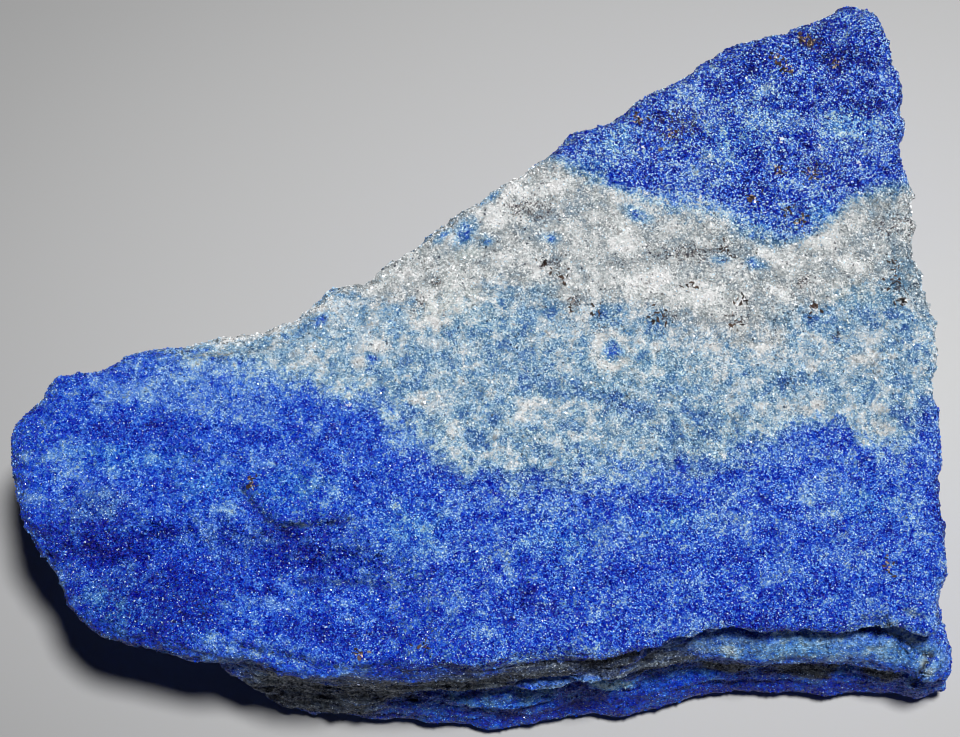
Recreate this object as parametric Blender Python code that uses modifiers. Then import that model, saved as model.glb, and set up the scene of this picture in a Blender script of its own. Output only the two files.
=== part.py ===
"""A piece of rough lapis lazuli, about 76 mm long, lying on its flattest side.

+X runs along the long straight front edge, +Y away from it and +Z up. The origin is the middle
of the stone's outline, on the surface that it rests on. Sizes are in millimetres until the
mesh is made, which is in metres.

The stone is lofted from its rim down: each run of the rim has a side of its own, given by how
far it stands out, how far it is drawn in under the stone, and how high each row lies. The loft
is then made an even mesh, worn into ledges, lumps and flutes, and reduced to flat facets.
"""

import math
from collections import namedtuple

import bmesh
import bpy
from mathutils import Vector, noise

MM = 0.001

# Upper face: a plane that falls to the right and to the back
TOP_HEIGHT = 16.9
TOP_FALL_RIGHT = 0.05
TOP_FALL_BACK = 0.03

# Middle of the stone, that its underside narrows to, and the rings of its upper face, each as
# a share of the way out from there to the rim
MIDDLE = (5.5, -10.7)
TOP_RINGS = (0.35, 0.70, 1.0)

# Rim of the upper face, in runs, anticlockwise from the left end
RIM = {
    "prow": [
        (-37.9, -9.3), (-37.8, -10.7), (-37.3, -12.4), (-36.3, -15.8), (-35.1, -17.9),
        (-33.7, -20.1), (-33.2, -21.7), (-32.3, -22.2), (-31.0, -23.8), (-30.3, -24.3),
        (-28.7, -24.7), (-25.5, -25.2),
    ],
    "keel": [(-22.4, -25.8), (-20.8, -26.2)],
    "bow": [
        (-19.3, -26.6), (-17.7, -27.0), (-16.1, -27.2), (-14.2, -27.4), (-12.2, -27.5),
        (-9.4, -27.4),
    ],
    "front": [
        (-6.8, -27.2), (-3.6, -27.0), (-1.2, -26.8), (1.1, -26.6), (4.2, -26.2), (6.5, -26.1),
        (8.9, -25.9),
    ],
    "waist": [(12.0, -25.5), (13.6, -25.2), (15.2, -24.8), (16.7, -24.3), (18.0, -24.1)],
    "split": [
        (19.1, -24.0), (21.5, -24.1), (23.0, -23.7), (24.6, -23.5), (27.0, -23.8), (29.5, -23.1),
        (31.0, -23.1),
    ],
    "block": [(32.9, -23.6), (34.5, -24.4), (35.5, -23.9), (35.6, -22.6)],
    "right": [
        (35.8, -21.0), (36.4, -19.6), (36.0, -17.6), (36.5, -16.2), (36.2, -15.2), (36.5, -14.4),
        (36.1, -11.8), (36.2, -8.4), (36.1, -5.9), (35.7, -4.3), (35.9, -2.2), (35.5, -0.4),
        (36.0, 1.2), (35.7, 3.6), (34.9, 5.4), (34.8, 7.4), (35.2, 9.2), (34.6, 12.9),
        (34.1, 14.5), (33.8, 16.6), (34.0, 18.4), (33.8, 20.6), (33.5, 22.8), (33.2, 24.5),
    ],
    "point": [(32.8, 25.8), (32.1, 27.7), (31.0, 28.5), (29.4, 28.6), (28.3, 28.2)],
    "back": [
        (25.8, 27.3), (24.2, 26.4), (21.3, 25.2), (19.0, 24.4), (17.9, 23.4), (15.2, 21.6),
        (12.6, 20.5), (10.7, 19.0), (7.5, 16.9), (4.8, 15.0), (2.7, 13.3), (1.8, 13.1),
        (-0.5, 11.3), (-2.5, 9.9), (-4.7, 8.2), (-6.0, 6.8), (-7.3, 6.1), (-8.7, 4.9),
        (-10.5, 3.6), (-11.7, 3.6), (-13.1, 2.9), (-14.3, 2.0), (-15.1, 1.1),
    ],
    "shoulder": [
        (-16.5, 0.5), (-18.5, -0.2), (-20.5, -0.5), (-22.5, -1.0), (-24.5, -1.3), (-26.8, -1.4),
        (-28.5, -2.2), (-29.7, -2.8), (-30.8, -3.6), (-32.2, -3.8), (-33.3, -4.0), (-34.4, -4.7),
        (-35.5, -5.8), (-36.8, -6.7), (-37.6, -7.9),
    ],
}

# Rows of the side below the rim. out is how far a row stands out from the rim, drawn is the
# share of the way that it is drawn in towards the middle, and level is its share of the height.
Row = namedtuple("Row", "out drawn level")

SIDES = {
    "prow": [
        Row(0.5, 0.00, 0.94), Row(0.5, 0.00, 0.88), Row(0.1, 0.02, 0.81), Row(0.3, 0.09, 0.72),
        Row(0.0, 0.21, 0.54), Row(0.0, 0.35, 0.32), Row(0.0, 0.47, 0.12),
    ],
    "keel": [
        Row(0.1, 0.00, 0.95), Row(-0.2, 0.00, 0.86), Row(-0.1, 0.00, 0.72), Row(0.6, 0.00, 0.56),
        Row(1.2, 0.01, 0.40), Row(1.4, 0.04, 0.24), Row(1.2, 0.10, 0.10),
    ],
    "bow": [
        Row(0.1, 0.00, 0.95), Row(-0.4, 0.00, 0.82), Row(-0.5, 0.00, 0.66), Row(0.0, 0.00, 0.52),
        Row(0.0, 0.00, 0.38), Row(0.4, 0.00, 0.25), Row(0.6, 0.00, 0.07),
    ],
    "front": [
        Row(0.1, 0.00, 0.95), Row(-0.4, 0.00, 0.82), Row(-0.6, 0.00, 0.66), Row(0.1, 0.00, 0.52),
        Row(0.0, 0.00, 0.38), Row(1.4, 0.00, 0.25), Row(2.3, 0.00, 0.06),
    ],
    "waist": [
        Row(0.1, 0.00, 0.95), Row(-0.9, 0.00, 0.85), Row(-0.2, 0.00, 0.72), Row(0.8, 0.00, 0.62),
        Row(0.0, 0.00, 0.44), Row(0.6, 0.00, 0.28), Row(1.3, 0.00, 0.06),
    ],
    "split": [
        Row(0.1, 0.00, 0.95), Row(-1.6, 0.00, 0.84), Row(-0.2, 0.00, 0.71), Row(1.8, 0.00, 0.62),
        Row(0.7, 0.00, 0.45), Row(1.9, 0.00, 0.28), Row(2.8, 0.00, 0.06),
    ],
    "block": [
        Row(0.1, 0.00, 0.95), Row(-0.5, 0.00, 0.84), Row(0.6, 0.00, 0.71), Row(2.9, 0.00, 0.60),
        Row(3.2, 0.00, 0.43), Row(3.3, 0.00, 0.25), Row(3.0, 0.00, 0.06),
    ],
    "right": [
        Row(-0.3, 0.00, 0.95), Row(-0.3, 0.00, 0.85), Row(-1.0, 0.00, 0.72), Row(-0.3, 0.00, 0.60),
        Row(-1.1, 0.00, 0.42), Row(-1.2, 0.01, 0.25), Row(-1.5, 0.04, 0.10),
    ],
    "point": [
        Row(0.0, 0.00, 0.94), Row(-0.2, 0.00, 0.84), Row(-0.8, 0.00, 0.70), Row(-0.3, 0.01, 0.58),
        Row(-0.8, 0.03, 0.42), Row(-1.0, 0.06, 0.27), Row(-1.0, 0.11, 0.14),
    ],
    "back": [
        Row(0.4, 0.00, 0.95), Row(0.7, 0.00, 0.84), Row(0.2, 0.00, 0.72), Row(1.2, 0.00, 0.60),
        Row(0.6, 0.00, 0.42), Row(-0.2, 0.03, 0.27), Row(-0.6, 0.07, 0.13),
    ],
    "shoulder": [
        Row(0.4, 0.00, 0.93), Row(0.6, 0.00, 0.84), Row(0.1, 0.00, 0.72), Row(0.3, 0.04, 0.60),
        Row(0.0, 0.14, 0.43), Row(0.0, 0.26, 0.28), Row(0.0, 0.38, 0.14),
    ],
}

# Number of rim points to either side over which one side turns into the next
SIDE_BLEND = 2

# Underside: rings as (share of the way in to the middle, height), the last below the table,
# so that it is worn flat there
UNDERSIDE = [(0.14, 0.75), (0.42, 0.05), (0.72, -0.35)]

# Lower terrace at the front left of the upper face: the line of its scarp, from left to right
SCARP = [
    (-38.5, -15.9), (-30.5, -15.5), (-22.5, -14.7), (-18.5, -14.1), (-17.5, -15.1),
    (-14.5, -15.8), (-11.5, -15.2), (-8.5, -17.2), (-0.5, -20.2),
]
SCARP_DROP = 2.0
SCARP_WIDTH = 4.2
SCARP_FADE = (-9.5, -1.5)

# Narrow ledge that falls to the back along the shoulder
LEDGE = [(-28.0, -2.5), (-21.5, -2.6), (-17.9, -1.3), (-15.7, -1.3), (-12.8, -2.3)]
LEDGE_DROP = 1.3
LEDGE_WIDTH = 1.2
LEDGE_START = (-28.5, -26.5)
LEDGE_END = (-17.5, -12.5)

# Left end, which rounds down
END_START = -30.5
END_REACH = 7.0
END_DROP = 1.2

# Broken surface. Lumps and humps cover the whole stone, and humps stand prouder on the sides.
LUMP_HEIGHT = 0.55
LUMP_SIZE = 6.5
LUMP_ROUGHNESS = 0.9
LUMP_DETAIL = 2.1
LUMP_OCTAVES = 3
HUMP_TOP = 0.40
HUMP_SIDE = 0.60
HUMP_SIZE = 3.4
HUMP_MIDDLE = 0.45

# A face counts as a side once its normal leans this far from upright
SIDE_LEAN = (0.35, 0.80)

# Ledges of the stone's layers, which lie almost level, on the sides
LAYER_DEPTH = 0.55
LAYER_THICKNESS = 2.1
LAYER_WAVE = 0.5
LAYER_WAVE_SIZE = 14.0

# Upright flutes along the right side, from x = FLUTE_START on
FLUTE_DEPTH = 0.35
FLUTE_PITCH = 2.7
FLUTE_SWAY = 7.0
FLUTE_START = (30.0, 34.0)

# Smooth shelf at the front right, under the split: where it lies, and the roughness it loses
SHELF_CALM = 0.75
SHELF_START = (9.0, 14.0)
SHELF_END = (32.0, 35.0)
SHELF_BACK = (-21.5, -20.0)
SHELF_LOW = (7.0, 8.5)

# Share of the height above which the sides follow the relief of the upper face
RELIEF_FROM = (0.55, 0.85)

# Hollows where flakes broke off, each as the ball that it fits: middle x, y, z and radius.
# FLAKE_RAGGED is how far the balls are out of round, as a share of the radius.
FLAKES = [
    (8.5, 24.5, 1.0, 8.5),
    (21.0, 31.0, 2.0, 7.5),
    (-6.0, 15.5, 1.5, 8.0),
    (42.0, 3.0, 1.5, 8.0),
    (40.8, -13.0, 3.0, 6.5),
    (-31.0, -13.0, -0.8, 11.0),
    (-20.0, 8.0, 2.0, 9.0),
]
FLAKE_RAGGED = 0.14
FLAKE_GRAIN = 3.0

# Mesh: size of its even squares before the facets, the number of facets, and how close to the
# table the underside is worn flat
EVEN_SIZE = 0.65
FACETS = 9400
FLAT_WITHIN = 0.06

# Ultramarine, as the larger part of the stone
BLUE = (0.045, 0.13, 0.50, 1.0)
BLUE_ROUGHNESS = 0.62


def ease(low, high, value):
    """0 below low, 1 above high, and a smooth rise between them."""
    share = min(1.0, max(0.0, (value - low) / (high - low)))
    return share * share * (3.0 - 2.0 * share)


def line_height(line, x):
    """y of a line of points at x, level beyond its ends."""
    if x <= line[0][0]:
        return line[0][1]
    for (x0, y0), (x1, y1) in zip(line, line[1:]):
        if x <= x1:
            return y0 + (y1 - y0) * (x - x0) / (x1 - x0)
    return line[-1][1]


def top_height(x, y):
    """Height of the upper face before it is worn."""
    return TOP_HEIGHT - TOP_FALL_RIGHT * x - TOP_FALL_BACK * y


def top_relief(x, y):
    """How far the upper face lies below its plane: the terrace, the ledge and the round end."""
    terrace = ease(0.0, SCARP_WIDTH, line_height(SCARP, x) - y)
    terrace *= SCARP_DROP * (1.0 - ease(*SCARP_FADE, x))
    ledge = ease(0.0, LEDGE_WIDTH, y - line_height(LEDGE, x))
    ledge *= LEDGE_DROP * ease(*LEDGE_START, x) * (1.0 - ease(*LEDGE_END, x))
    end = END_DROP * max(0.0, (END_START - x) / END_REACH) ** 2
    return terrace + ledge + end


def rim_stations():
    """Rim points with the outward direction and the side rows of each, blended along the rim."""
    points = []
    sides = []
    for run, outline in RIM.items():
        points += [Vector(point) for point in outline]
        sides += [SIDES[run]] * len(outline)
    count = len(points)
    stations = []
    for i, point in enumerate(points):
        along = points[(i + 2) % count] - points[i - 2]
        outward = Vector((along.y, -along.x)).normalized()
        near = [sides[(i + step) % count] for step in range(-SIDE_BLEND, SIDE_BLEND + 1)]
        rows = []
        for level_rows in zip(*near):
            rows.append(Row(*(sum(values) / len(near) for values in zip(*level_rows))))
        stations.append((point, outward, rows))
    return stations


def loft():
    """The stone's closed loft, from the middle of its upper face down to that of its underside."""
    middle = Vector(MIDDLE)
    stations = rim_stations()
    rings = []
    for share in TOP_RINGS:
        ring = []
        for point, _, _ in stations:
            spot = middle.lerp(point, share)
            ring.append((spot.x, spot.y, top_height(spot.x, spot.y)))
        rings.append(ring)
    for row in range(len(stations[0][2])):
        ring = []
        for point, outward, rows in stations:
            out, drawn, level = rows[row]
            spot = (point + outward * out).lerp(middle, drawn)
            ring.append((spot.x, spot.y, level * top_height(point.x, point.y)))
        rings.append(ring)
    hem = rings[-1]
    for share, height in UNDERSIDE:
        rings.append([(*Vector(spot[:2]).lerp(middle, share), height) for spot in hem])

    shape = bmesh.new()
    count = len(stations)
    loops = []
    for ring in rings:
        loops.append([shape.verts.new(Vector(spot) * MM) for spot in ring])
    for upper, lower in zip(loops, loops[1:]):
        for i in range(count):
            j = (i + 1) % count
            shape.faces.new((upper[i], lower[i], lower[j], upper[j]))
    top_middle = shape.verts.new(Vector((*MIDDLE, top_height(*MIDDLE))) * MM)
    sole_middle = shape.verts.new(Vector((*MIDDLE, UNDERSIDE[-1][1])) * MM)
    for i in range(count):
        j = (i + 1) % count
        shape.faces.new((top_middle, loops[0][i], loops[0][j]))
        shape.faces.new((sole_middle, loops[-1][j], loops[-1][i]))
    bmesh.ops.recalc_face_normals(shape, faces=shape.faces)
    mesh = bpy.data.meshes.new("loft")
    shape.to_mesh(mesh)
    shape.free()
    return mesh


def apply_modifiers(stone):
    """Gives the object the mesh that its modifiers make, and removes them."""
    depsgraph = bpy.context.evaluated_depsgraph_get()
    worked = bpy.data.meshes.new_from_object(stone.evaluated_get(depsgraph))
    rough = stone.data
    stone.modifiers.clear()
    stone.data = worked
    bpy.data.meshes.remove(rough)


def make_even(stone):
    """Turns the loft into one closed skin of even squares."""
    remesh = stone.modifiers.new("even squares", "REMESH")
    remesh.mode = "VOXEL"
    remesh.voxel_size = EVEN_SIZE * MM
    apply_modifiers(stone)


def layer_ledges(spot):
    """Outward stand of the side's layers, each with its own depth."""
    wave = LAYER_WAVE * noise.noise(spot / LAYER_WAVE_SIZE)
    depth = spot.z / LAYER_THICKNESS + wave
    layer = math.floor(depth)
    stretch = math.floor(spot.x / LAYER_WAVE_SIZE + wave)
    own = noise.cell(Vector((layer, stretch, 0.5)))
    return LAYER_DEPTH * own * ((depth - layer) - 0.5)


def flutes(spot):
    """Depth of the upright scallops along the right side."""
    place = spot.y / FLUTE_PITCH + noise.noise(spot / FLUTE_SWAY)
    scallop = abs(math.sin(math.pi * place)) - 1.0
    return FLUTE_DEPTH * scallop * ease(*FLUTE_START, spot.x)


def shelf_calm(spot):
    """Share of its roughness that the skin keeps: little on the smooth shelf."""
    across = ease(*SHELF_START, spot.x) * (1.0 - ease(*SHELF_END, spot.x))
    front = 1.0 - ease(*SHELF_BACK, spot.y)
    return 1.0 - SHELF_CALM * across * front * ease(*SHELF_LOW, spot.z)


def roughness(spot, normal):
    """How far the broken surface stands out from the loft at a point."""
    side = 1.0 - ease(*SIDE_LEAN, abs(normal.z))
    lumps = noise.fractal(spot / LUMP_SIZE, LUMP_ROUGHNESS, LUMP_DETAIL, LUMP_OCTAVES)
    nearest = noise.voronoi(spot / HUMP_SIZE)[0][0]
    hump_height = HUMP_TOP + (HUMP_SIDE - HUMP_TOP) * side
    stand = LUMP_HEIGHT * lumps + hump_height * (HUMP_MIDDLE - nearest)
    stand += side * (layer_ledges(spot) + flutes(spot))
    return stand * shelf_calm(spot)


def break_flakes(spot):
    """The place of a point of the skin once the flakes have broken off."""
    ragged = 1.0 + FLAKE_RAGGED * noise.noise(spot / FLAKE_GRAIN)
    for x, y, z, radius in FLAKES:
        middle = Vector((x, y, z))
        away = spot - middle
        reach = radius * ragged
        if away.length < reach:
            spot = middle + away.normalized() * reach
    return spot


def wear(stone):
    """Breaks the skin, lowers the upper face to its relief and wears the underside flat."""
    moved = []
    for vertex in stone.data.vertices:
        spot = vertex.co / MM
        normal = vertex.normal.copy()
        place = break_flakes(spot) + normal * roughness(spot, normal)
        upper = ease(*RELIEF_FROM, spot.z / top_height(spot.x, spot.y))
        place.z -= upper * top_relief(spot.x, spot.y)
        place.z = max(place.z, 0.0)
        moved.append(place * MM)
    for vertex, place in zip(stone.data.vertices, moved):
        vertex.co = place
    stone.data.update()


def cut_facets(stone):
    """Reduces the skin to flat facets and sets the worn underside level."""
    stone.data.calc_loop_triangles()
    decimate = stone.modifiers.new("facets", "DECIMATE")
    decimate.ratio = FACETS / len(stone.data.loop_triangles)
    decimate.use_collapse_triangulate = True
    apply_modifiers(stone)
    for vertex in stone.data.vertices:
        if vertex.co.z < FLAT_WITHIN * MM:
            vertex.co.z = 0.0
    stone.data.update()


def centre_outline(stone):
    """Moves the mesh so that the middle of its outline is over the origin."""
    xs = [vertex.co.x for vertex in stone.data.vertices]
    ys = [vertex.co.y for vertex in stone.data.vertices]
    shift = Vector(((min(xs) + max(xs)) / 2.0, (min(ys) + max(ys)) / 2.0, 0.0))
    for vertex in stone.data.vertices:
        vertex.co -= shift
    stone.data.update()


def ultramarine():
    """Material of the stone in its main colour."""
    material = bpy.data.materials.new("lapis blue")
    material.use_nodes = True
    shader = material.node_tree.nodes["Principled BSDF"]
    shader.inputs["Base Color"].default_value = BLUE
    shader.inputs["Roughness"].default_value = BLUE_ROUGHNESS
    shader.inputs["Metallic"].default_value = 0.0
    return material


def main():
    """Clears the scene and makes the stone."""
    for old in list(bpy.data.objects):
        bpy.data.objects.remove(old, do_unlink=True)
    group = bpy.data.collections.new("rough lapis lazuli")
    bpy.context.scene.collection.children.link(group)
    stone = bpy.data.objects.new("lapis_lazuli", loft())
    group.objects.link(stone)
    make_even(stone)
    wear(stone)
    cut_facets(stone)
    centre_outline(stone)
    stone.data.materials.clear()
    stone.data.materials.append(ultramarine())


main()
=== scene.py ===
"""Rough lapis lazuli: a broken wedge of blue, pale blue and white rock on a pale studio floor."""

import logging
import math
from collections.abc import Callable
from dataclasses import dataclass, field
from enum import Enum

import bmesh
import bpy
import numpy as np
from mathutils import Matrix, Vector
from mathutils.bvhtree import BVHTree


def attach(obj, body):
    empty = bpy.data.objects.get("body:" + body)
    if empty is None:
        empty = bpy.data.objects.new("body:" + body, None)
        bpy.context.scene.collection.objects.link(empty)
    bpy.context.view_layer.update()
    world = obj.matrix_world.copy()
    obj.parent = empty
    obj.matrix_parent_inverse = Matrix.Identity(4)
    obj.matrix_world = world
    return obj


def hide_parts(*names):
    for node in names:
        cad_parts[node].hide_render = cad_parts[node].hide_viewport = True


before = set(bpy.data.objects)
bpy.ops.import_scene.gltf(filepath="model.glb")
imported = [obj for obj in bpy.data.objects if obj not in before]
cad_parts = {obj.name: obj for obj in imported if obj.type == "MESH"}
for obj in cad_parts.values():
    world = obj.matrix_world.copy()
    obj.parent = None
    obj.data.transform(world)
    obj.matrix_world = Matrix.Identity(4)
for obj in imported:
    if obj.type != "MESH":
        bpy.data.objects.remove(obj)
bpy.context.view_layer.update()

LOG = logging.getLogger("lapis")
MM = 0.001
STONE_NODE = "lapis_lazuli"
BODY = "root"

# The broken top face is close to one plane: its height in mm over the origin, and its fall to the right and
# to the back. Rock less than the skin's mm below it still counts as the top.
TOP_HEIGHT = 16.9
TOP_FALL = (0.05, 0.03)
TOP_SKIN = 1.5

# The crumbly lumps: how many in a mm, and the noise that makes their outlines uneven, as clouds in a mm and
# as its reach in mm
LUMPS = 0.85
CRUMPLE = (0.9, 0.5)

# Pale seams run between bodies of rock, this many in a mm
SEAMS = 0.42

Socket = bpy.types.NodeSocket
Value = Socket | float | tuple[float, ...]
Triple = tuple[float, float, float]
Colour = Triple


# Shared tools

@dataclass
class Wiring:
    """Adds nodes to one tree and joins them.

    Args:
        tree: the shader or geometry tree that the nodes go in.
    """

    tree: bpy.types.NodeTree

    def node(self, kind: str, inputs: dict[str | int, Value] | None = None, **settings) -> bpy.types.Node:
        """Adds one node.

        Args:
            kind: the node's type name.
            inputs: what goes into its sockets, by name or number.
            settings: the node's own properties.

        Returns:
            The new node.
        """
        made = self.tree.nodes.new(kind)
        for name, value in settings.items():
            setattr(made, name, value)
        for name, value in (inputs or {}).items():
            self.feed(made.inputs[name], value)
        return made

    def feed(self, socket: Socket, value: Value) -> None:
        """Gives a socket a link or a fixed value.

        Args:
            socket: the input to fill.
            value: another node's output, a number or a tuple.
        """
        if isinstance(value, Socket):
            self.tree.links.new(value, socket)
        else:
            socket.default_value = value

    def math(self, operation: str, first: Value, second: Value = 0.0, third: Value = 0.0) -> Socket:
        """Works out one number.

        Args:
            operation: a Math node's operation.
            first: its first input.
            second: its second input.
            third: its third input.

        Returns:
            The result's socket.
        """
        inputs = {0: first, 1: second, 2: third}
        return self.node("ShaderNodeMath", inputs, operation=operation).outputs[0]

    def vector(self, operation: str, first: Value, second: Value = (0.0, 0.0, 0.0)) -> bpy.types.Node:
        """Adds a Vector Math node with two vector inputs and returns it."""
        return self.node("ShaderNodeVectorMath", {0: first, 1: second}, operation=operation)

    def scaled(self, place: Socket, scale: Triple) -> Socket:
        """Stretches a place by a factor along each axis and returns it."""
        return self.vector("MULTIPLY", place, scale).outputs[0]

    def in_mm(self, place: Socket) -> Socket:
        """Turns a place in metres into mm."""
        return self.scaled(place, (1.0 / MM,) * 3)

    def ramp(self, value: Value, low: float, high: float, start: float = 0.0, end: float = 1.0) -> Socket:
        """Carries a number smoothly from one range to another.

        Args:
            value: the number.
            low: where the change begins.
            high: where it ends.
            start: the result at and below low.
            end: the result at and above high.

        Returns:
            The result's socket.
        """
        inputs = {"Value": value, "From Min": low, "From Max": high, "To Min": start, "To Max": end}
        made = self.node("ShaderNodeMapRange", inputs, interpolation_type="SMOOTHSTEP")
        return made.outputs["Result"]

    def blend(self, amount: Value, first: Value, second: Value) -> Socket:
        """Mixes two numbers by an amount from 0 to 1 and returns the mix."""
        inputs = {0: amount, 2: first, 3: second}
        return self.node("ShaderNodeMix", inputs, data_type="FLOAT").outputs[0]

    def tint(self, amount: Value, first: Value, second: Value, way: str = "MIX") -> Socket:
        """Mixes two colours.

        Args:
            amount: how much of the second, from 0 to 1.
            first: the colour below, a socket or four numbers.
            second: the colour above.
            way: the Mix node's blend type.

        Returns:
            The mixed colour's socket.
        """
        inputs = {0: amount, 6: first, 7: second}
        return self.node("ShaderNodeMix", inputs, data_type="RGBA", blend_type=way).outputs[2]

    def cells(self, place: Value, scale: float, feature: str = "F1") -> bpy.types.Node:
        """Adds cells like packed grains, that many in a mm, and returns the node."""
        return self.node("ShaderNodeTexVoronoi", {"Vector": place, "Scale": scale}, feature=feature)

    def crumpled(self, place: Socket, scale: float, reach: float) -> Socket:
        """Shifts a place by noise, so that cells read there get uneven outlines.

        Args:
            place: the place in mm.
            scale: the noise's clouds in a mm.
            reach: how far the place may shift, in mm.

        Returns:
            The shifted place.
        """
        inputs = {"Vector": place, "Scale": scale, "Detail": 2.0}
        cloud = self.node("ShaderNodeTexNoise", inputs).outputs["Color"]
        shift = self.vector("SUBTRACT", cloud, (0.5, 0.5, 0.5)).outputs[0]
        spread = self.vector("MULTIPLY", shift, (2.0 * reach,) * 3).outputs[0]
        return self.vector("ADD", place, spread).outputs[0]

    def facets(self, place: Socket, scale: float) -> Socket:
        """Breaks a surface into small flat faces, each tilted its own way.

        Args:
            place: where it is read, in mm.
            scale: faces in a mm.

        Returns:
            The height in mm at a slope of about 1.
        """
        grain = self.cells(place, scale)
        inner = self.vector("SUBTRACT", place, grain.outputs["Position"])
        tilt = self.vector("SUBTRACT", grain.outputs["Color"], (0.5, 0.5, 0.5))
        return self.vector("DOT_PRODUCT", inner.outputs[0], tilt.outputs[0]).outputs["Value"]


@dataclass(frozen=True)
class Cloud:
    """One kind of cloud noise.

    Args:
        scale: clouds in a mm.
        detail: octaves.
        rough: the strength of the finer octaves.
        stretch: what the place is multiplied by first; below 1 draws the clouds out along that axis.
    """

    scale: float
    detail: float = 3.0
    rough: float = 0.6
    stretch: Triple | None = None

    def around_half(self, wires: Wiring, spot: Socket) -> Socket:
        """Adds the noise, which is around 0.5.

        Args:
            wires: the tree.
            spot: the place in mm.

        Returns:
            The noise's socket.
        """
        place = wires.scaled(spot, self.stretch) if self.stretch else spot
        inputs = {"Vector": place, "Scale": self.scale, "Detail": self.detail, "Roughness": self.rough}
        return wires.node("ShaderNodeTexNoise", inputs).outputs[0]

    def around_zero(self, wires: Wiring, spot: Socket) -> Socket:
        """Adds the noise around 0."""
        return wires.math("SUBTRACT", self.around_half(wires, spot), 0.5)


def rgba(colour: Colour) -> tuple[float, float, float, float]:
    """Adds full opacity to a colour."""
    return (*colour, 1.0)


def add_object(name: str, mesh: bpy.types.Mesh) -> bpy.types.Object:
    """Puts a mesh in the scene as an object at the origin and returns it."""
    made = bpy.data.objects.new(name, mesh)
    bpy.context.scene.collection.objects.link(made)
    return made


def settle(piece: bpy.types.Object) -> None:
    """Turns an object's evaluated shape into its plain mesh and removes its modifiers.

    Args:
        piece: the object to settle.
    """
    view = bpy.context.evaluated_depsgraph_get()
    mesh = bpy.data.meshes.new_from_object(piece.evaluated_get(view))
    piece.modifiers.clear()
    old = piece.data
    piece.data = mesh
    bpy.data.meshes.remove(old)


def grow(piece: bpy.types.Object, name: str, sizes: dict[str, float], fill: Callable[[Wiring], None]) -> None:
    """Shapes an object with a Geometry Nodes tree of its own and keeps the result as its plain mesh.

    Args:
        piece: the object.
        name: the tree's name.
        sizes: the values of the tree's named inputs.
        fill: what adds the tree's nodes.
    """
    tree = bpy.data.node_groups.new(name, "GeometryNodeTree")
    for way in ("INPUT", "OUTPUT"):
        tree.interface.new_socket("Geometry", in_out=way, socket_type="NodeSocketGeometry")
    idents = {}
    for key in sizes:
        socket = tree.interface.new_socket(key, in_out="INPUT", socket_type="NodeSocketFloat")
        idents[key] = socket.identifier
    fill(Wiring(tree))
    shaping = piece.modifiers.new(name, "NODES")
    shaping.node_group = tree
    for key, size in sizes.items():
        shaping[idents[key]] = size
    settle(piece)


def rows_of(mesh: bpy.types.Mesh, what: str) -> np.ndarray:
    """Reads three numbers of each corner of a mesh, one row each."""
    flat = np.empty(len(mesh.vertices) * 3, np.float32)
    mesh.vertices.foreach_get(what, flat)
    return flat.reshape(-1, 3).astype(np.float64)


def spots_of(mesh: bpy.types.Mesh) -> np.ndarray:
    """Reads a mesh's corners in mm, one row each."""
    return rows_of(mesh, "co") / MM


def facing_of(mesh: bpy.types.Mesh) -> np.ndarray:
    """Reads the direction that each corner of a mesh faces, one row each."""
    return rows_of(mesh, "normal")


def ease(value: np.ndarray, low: float, high: float) -> np.ndarray:
    """Rises smoothly from 0 at low to 1 at high."""
    share = np.clip((value - low) / (high - low), 0.0, 1.0)
    return share * share * (3.0 - 2.0 * share)


def store(mesh: bpy.types.Mesh, name: str, values: np.ndarray) -> None:
    """Keeps one number for each corner of a mesh.

    Args:
        mesh: the mesh that carries them.
        name: the attribute's name, which a finish reads.
        values: one number for each corner.
    """
    kept = mesh.attributes.get(name) or mesh.attributes.new(name, "FLOAT", "POINT")
    kept.data.foreach_set("value", values.astype(np.float32))


# Lines on the stone

@dataclass(frozen=True)
class Line:
    """A line over the top face, from its points in mm, seen from above.

    Args:
        points: where it turns.
    """

    points: tuple[tuple[float, float], ...]

    def measure(self, spots: np.ndarray) -> tuple[np.ndarray, np.ndarray]:
        """Finds how far each spot is from the line, and on which side.

        Args:
            spots: places seen from above, one row each.

        Returns:
            Each spot's distance, and 1 on the line's left or -1 on its right.
        """
        best = np.full(len(spots), np.inf)
        side = np.ones(len(spots))
        corners = np.array(self.points)
        for start, end in zip(corners, corners[1:]):
            run = end - start
            along = np.clip((spots - start) @ run / (run @ run), 0.0, 1.0)
            gap = spots - (start + along[:, None] * run)
            reach = np.hypot(gap[:, 0], gap[:, 1])
            closer = reach < best
            best[closer] = reach[closer]
            side[closer] = np.sign(run[0] * gap[closer, 1] - run[1] * gap[closer, 0])
        return best, side

    def inside(self, spots: np.ndarray) -> np.ndarray:
        """Measures each spot against the closed outline: above 0 inside it, below 0 outside.

        Args:
            spots: places seen from above, one row each.

        Returns:
            The signed distances.
        """
        closed = Line(self.points + self.points[:1])
        reach, _ = closed.measure(spots)
        within = np.zeros(len(spots), bool)
        corners = np.array(closed.points)
        for start, end in zip(corners, corners[1:]):
            spans = (start[1] > spots[:, 1]) != (end[1] > spots[:, 1])
            lift = end[1] - start[1] or 1.0
            crossing = start[0] + (spots[:, 1] - start[1]) * (end[0] - start[0]) / lift
            within ^= spans & (spots[:, 0] < crossing)
        return np.where(within, reach, -reach)


# The lower edge of the deep blue tip, from the back edge to the right edge
TIP_EDGE = (
    (5.0, 15.7), (8.6, 13.6), (11.0, 12.4), (13.4, 11.6), (15.9, 10.9), (19.1, 10.6), (21.5, 9.3),
    (24.3, 8.5), (26.6, 8.9), (28.2, 10.6), (29.7, 12.0), (32.2, 13.1), (36.3, 13.7),
)
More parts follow.
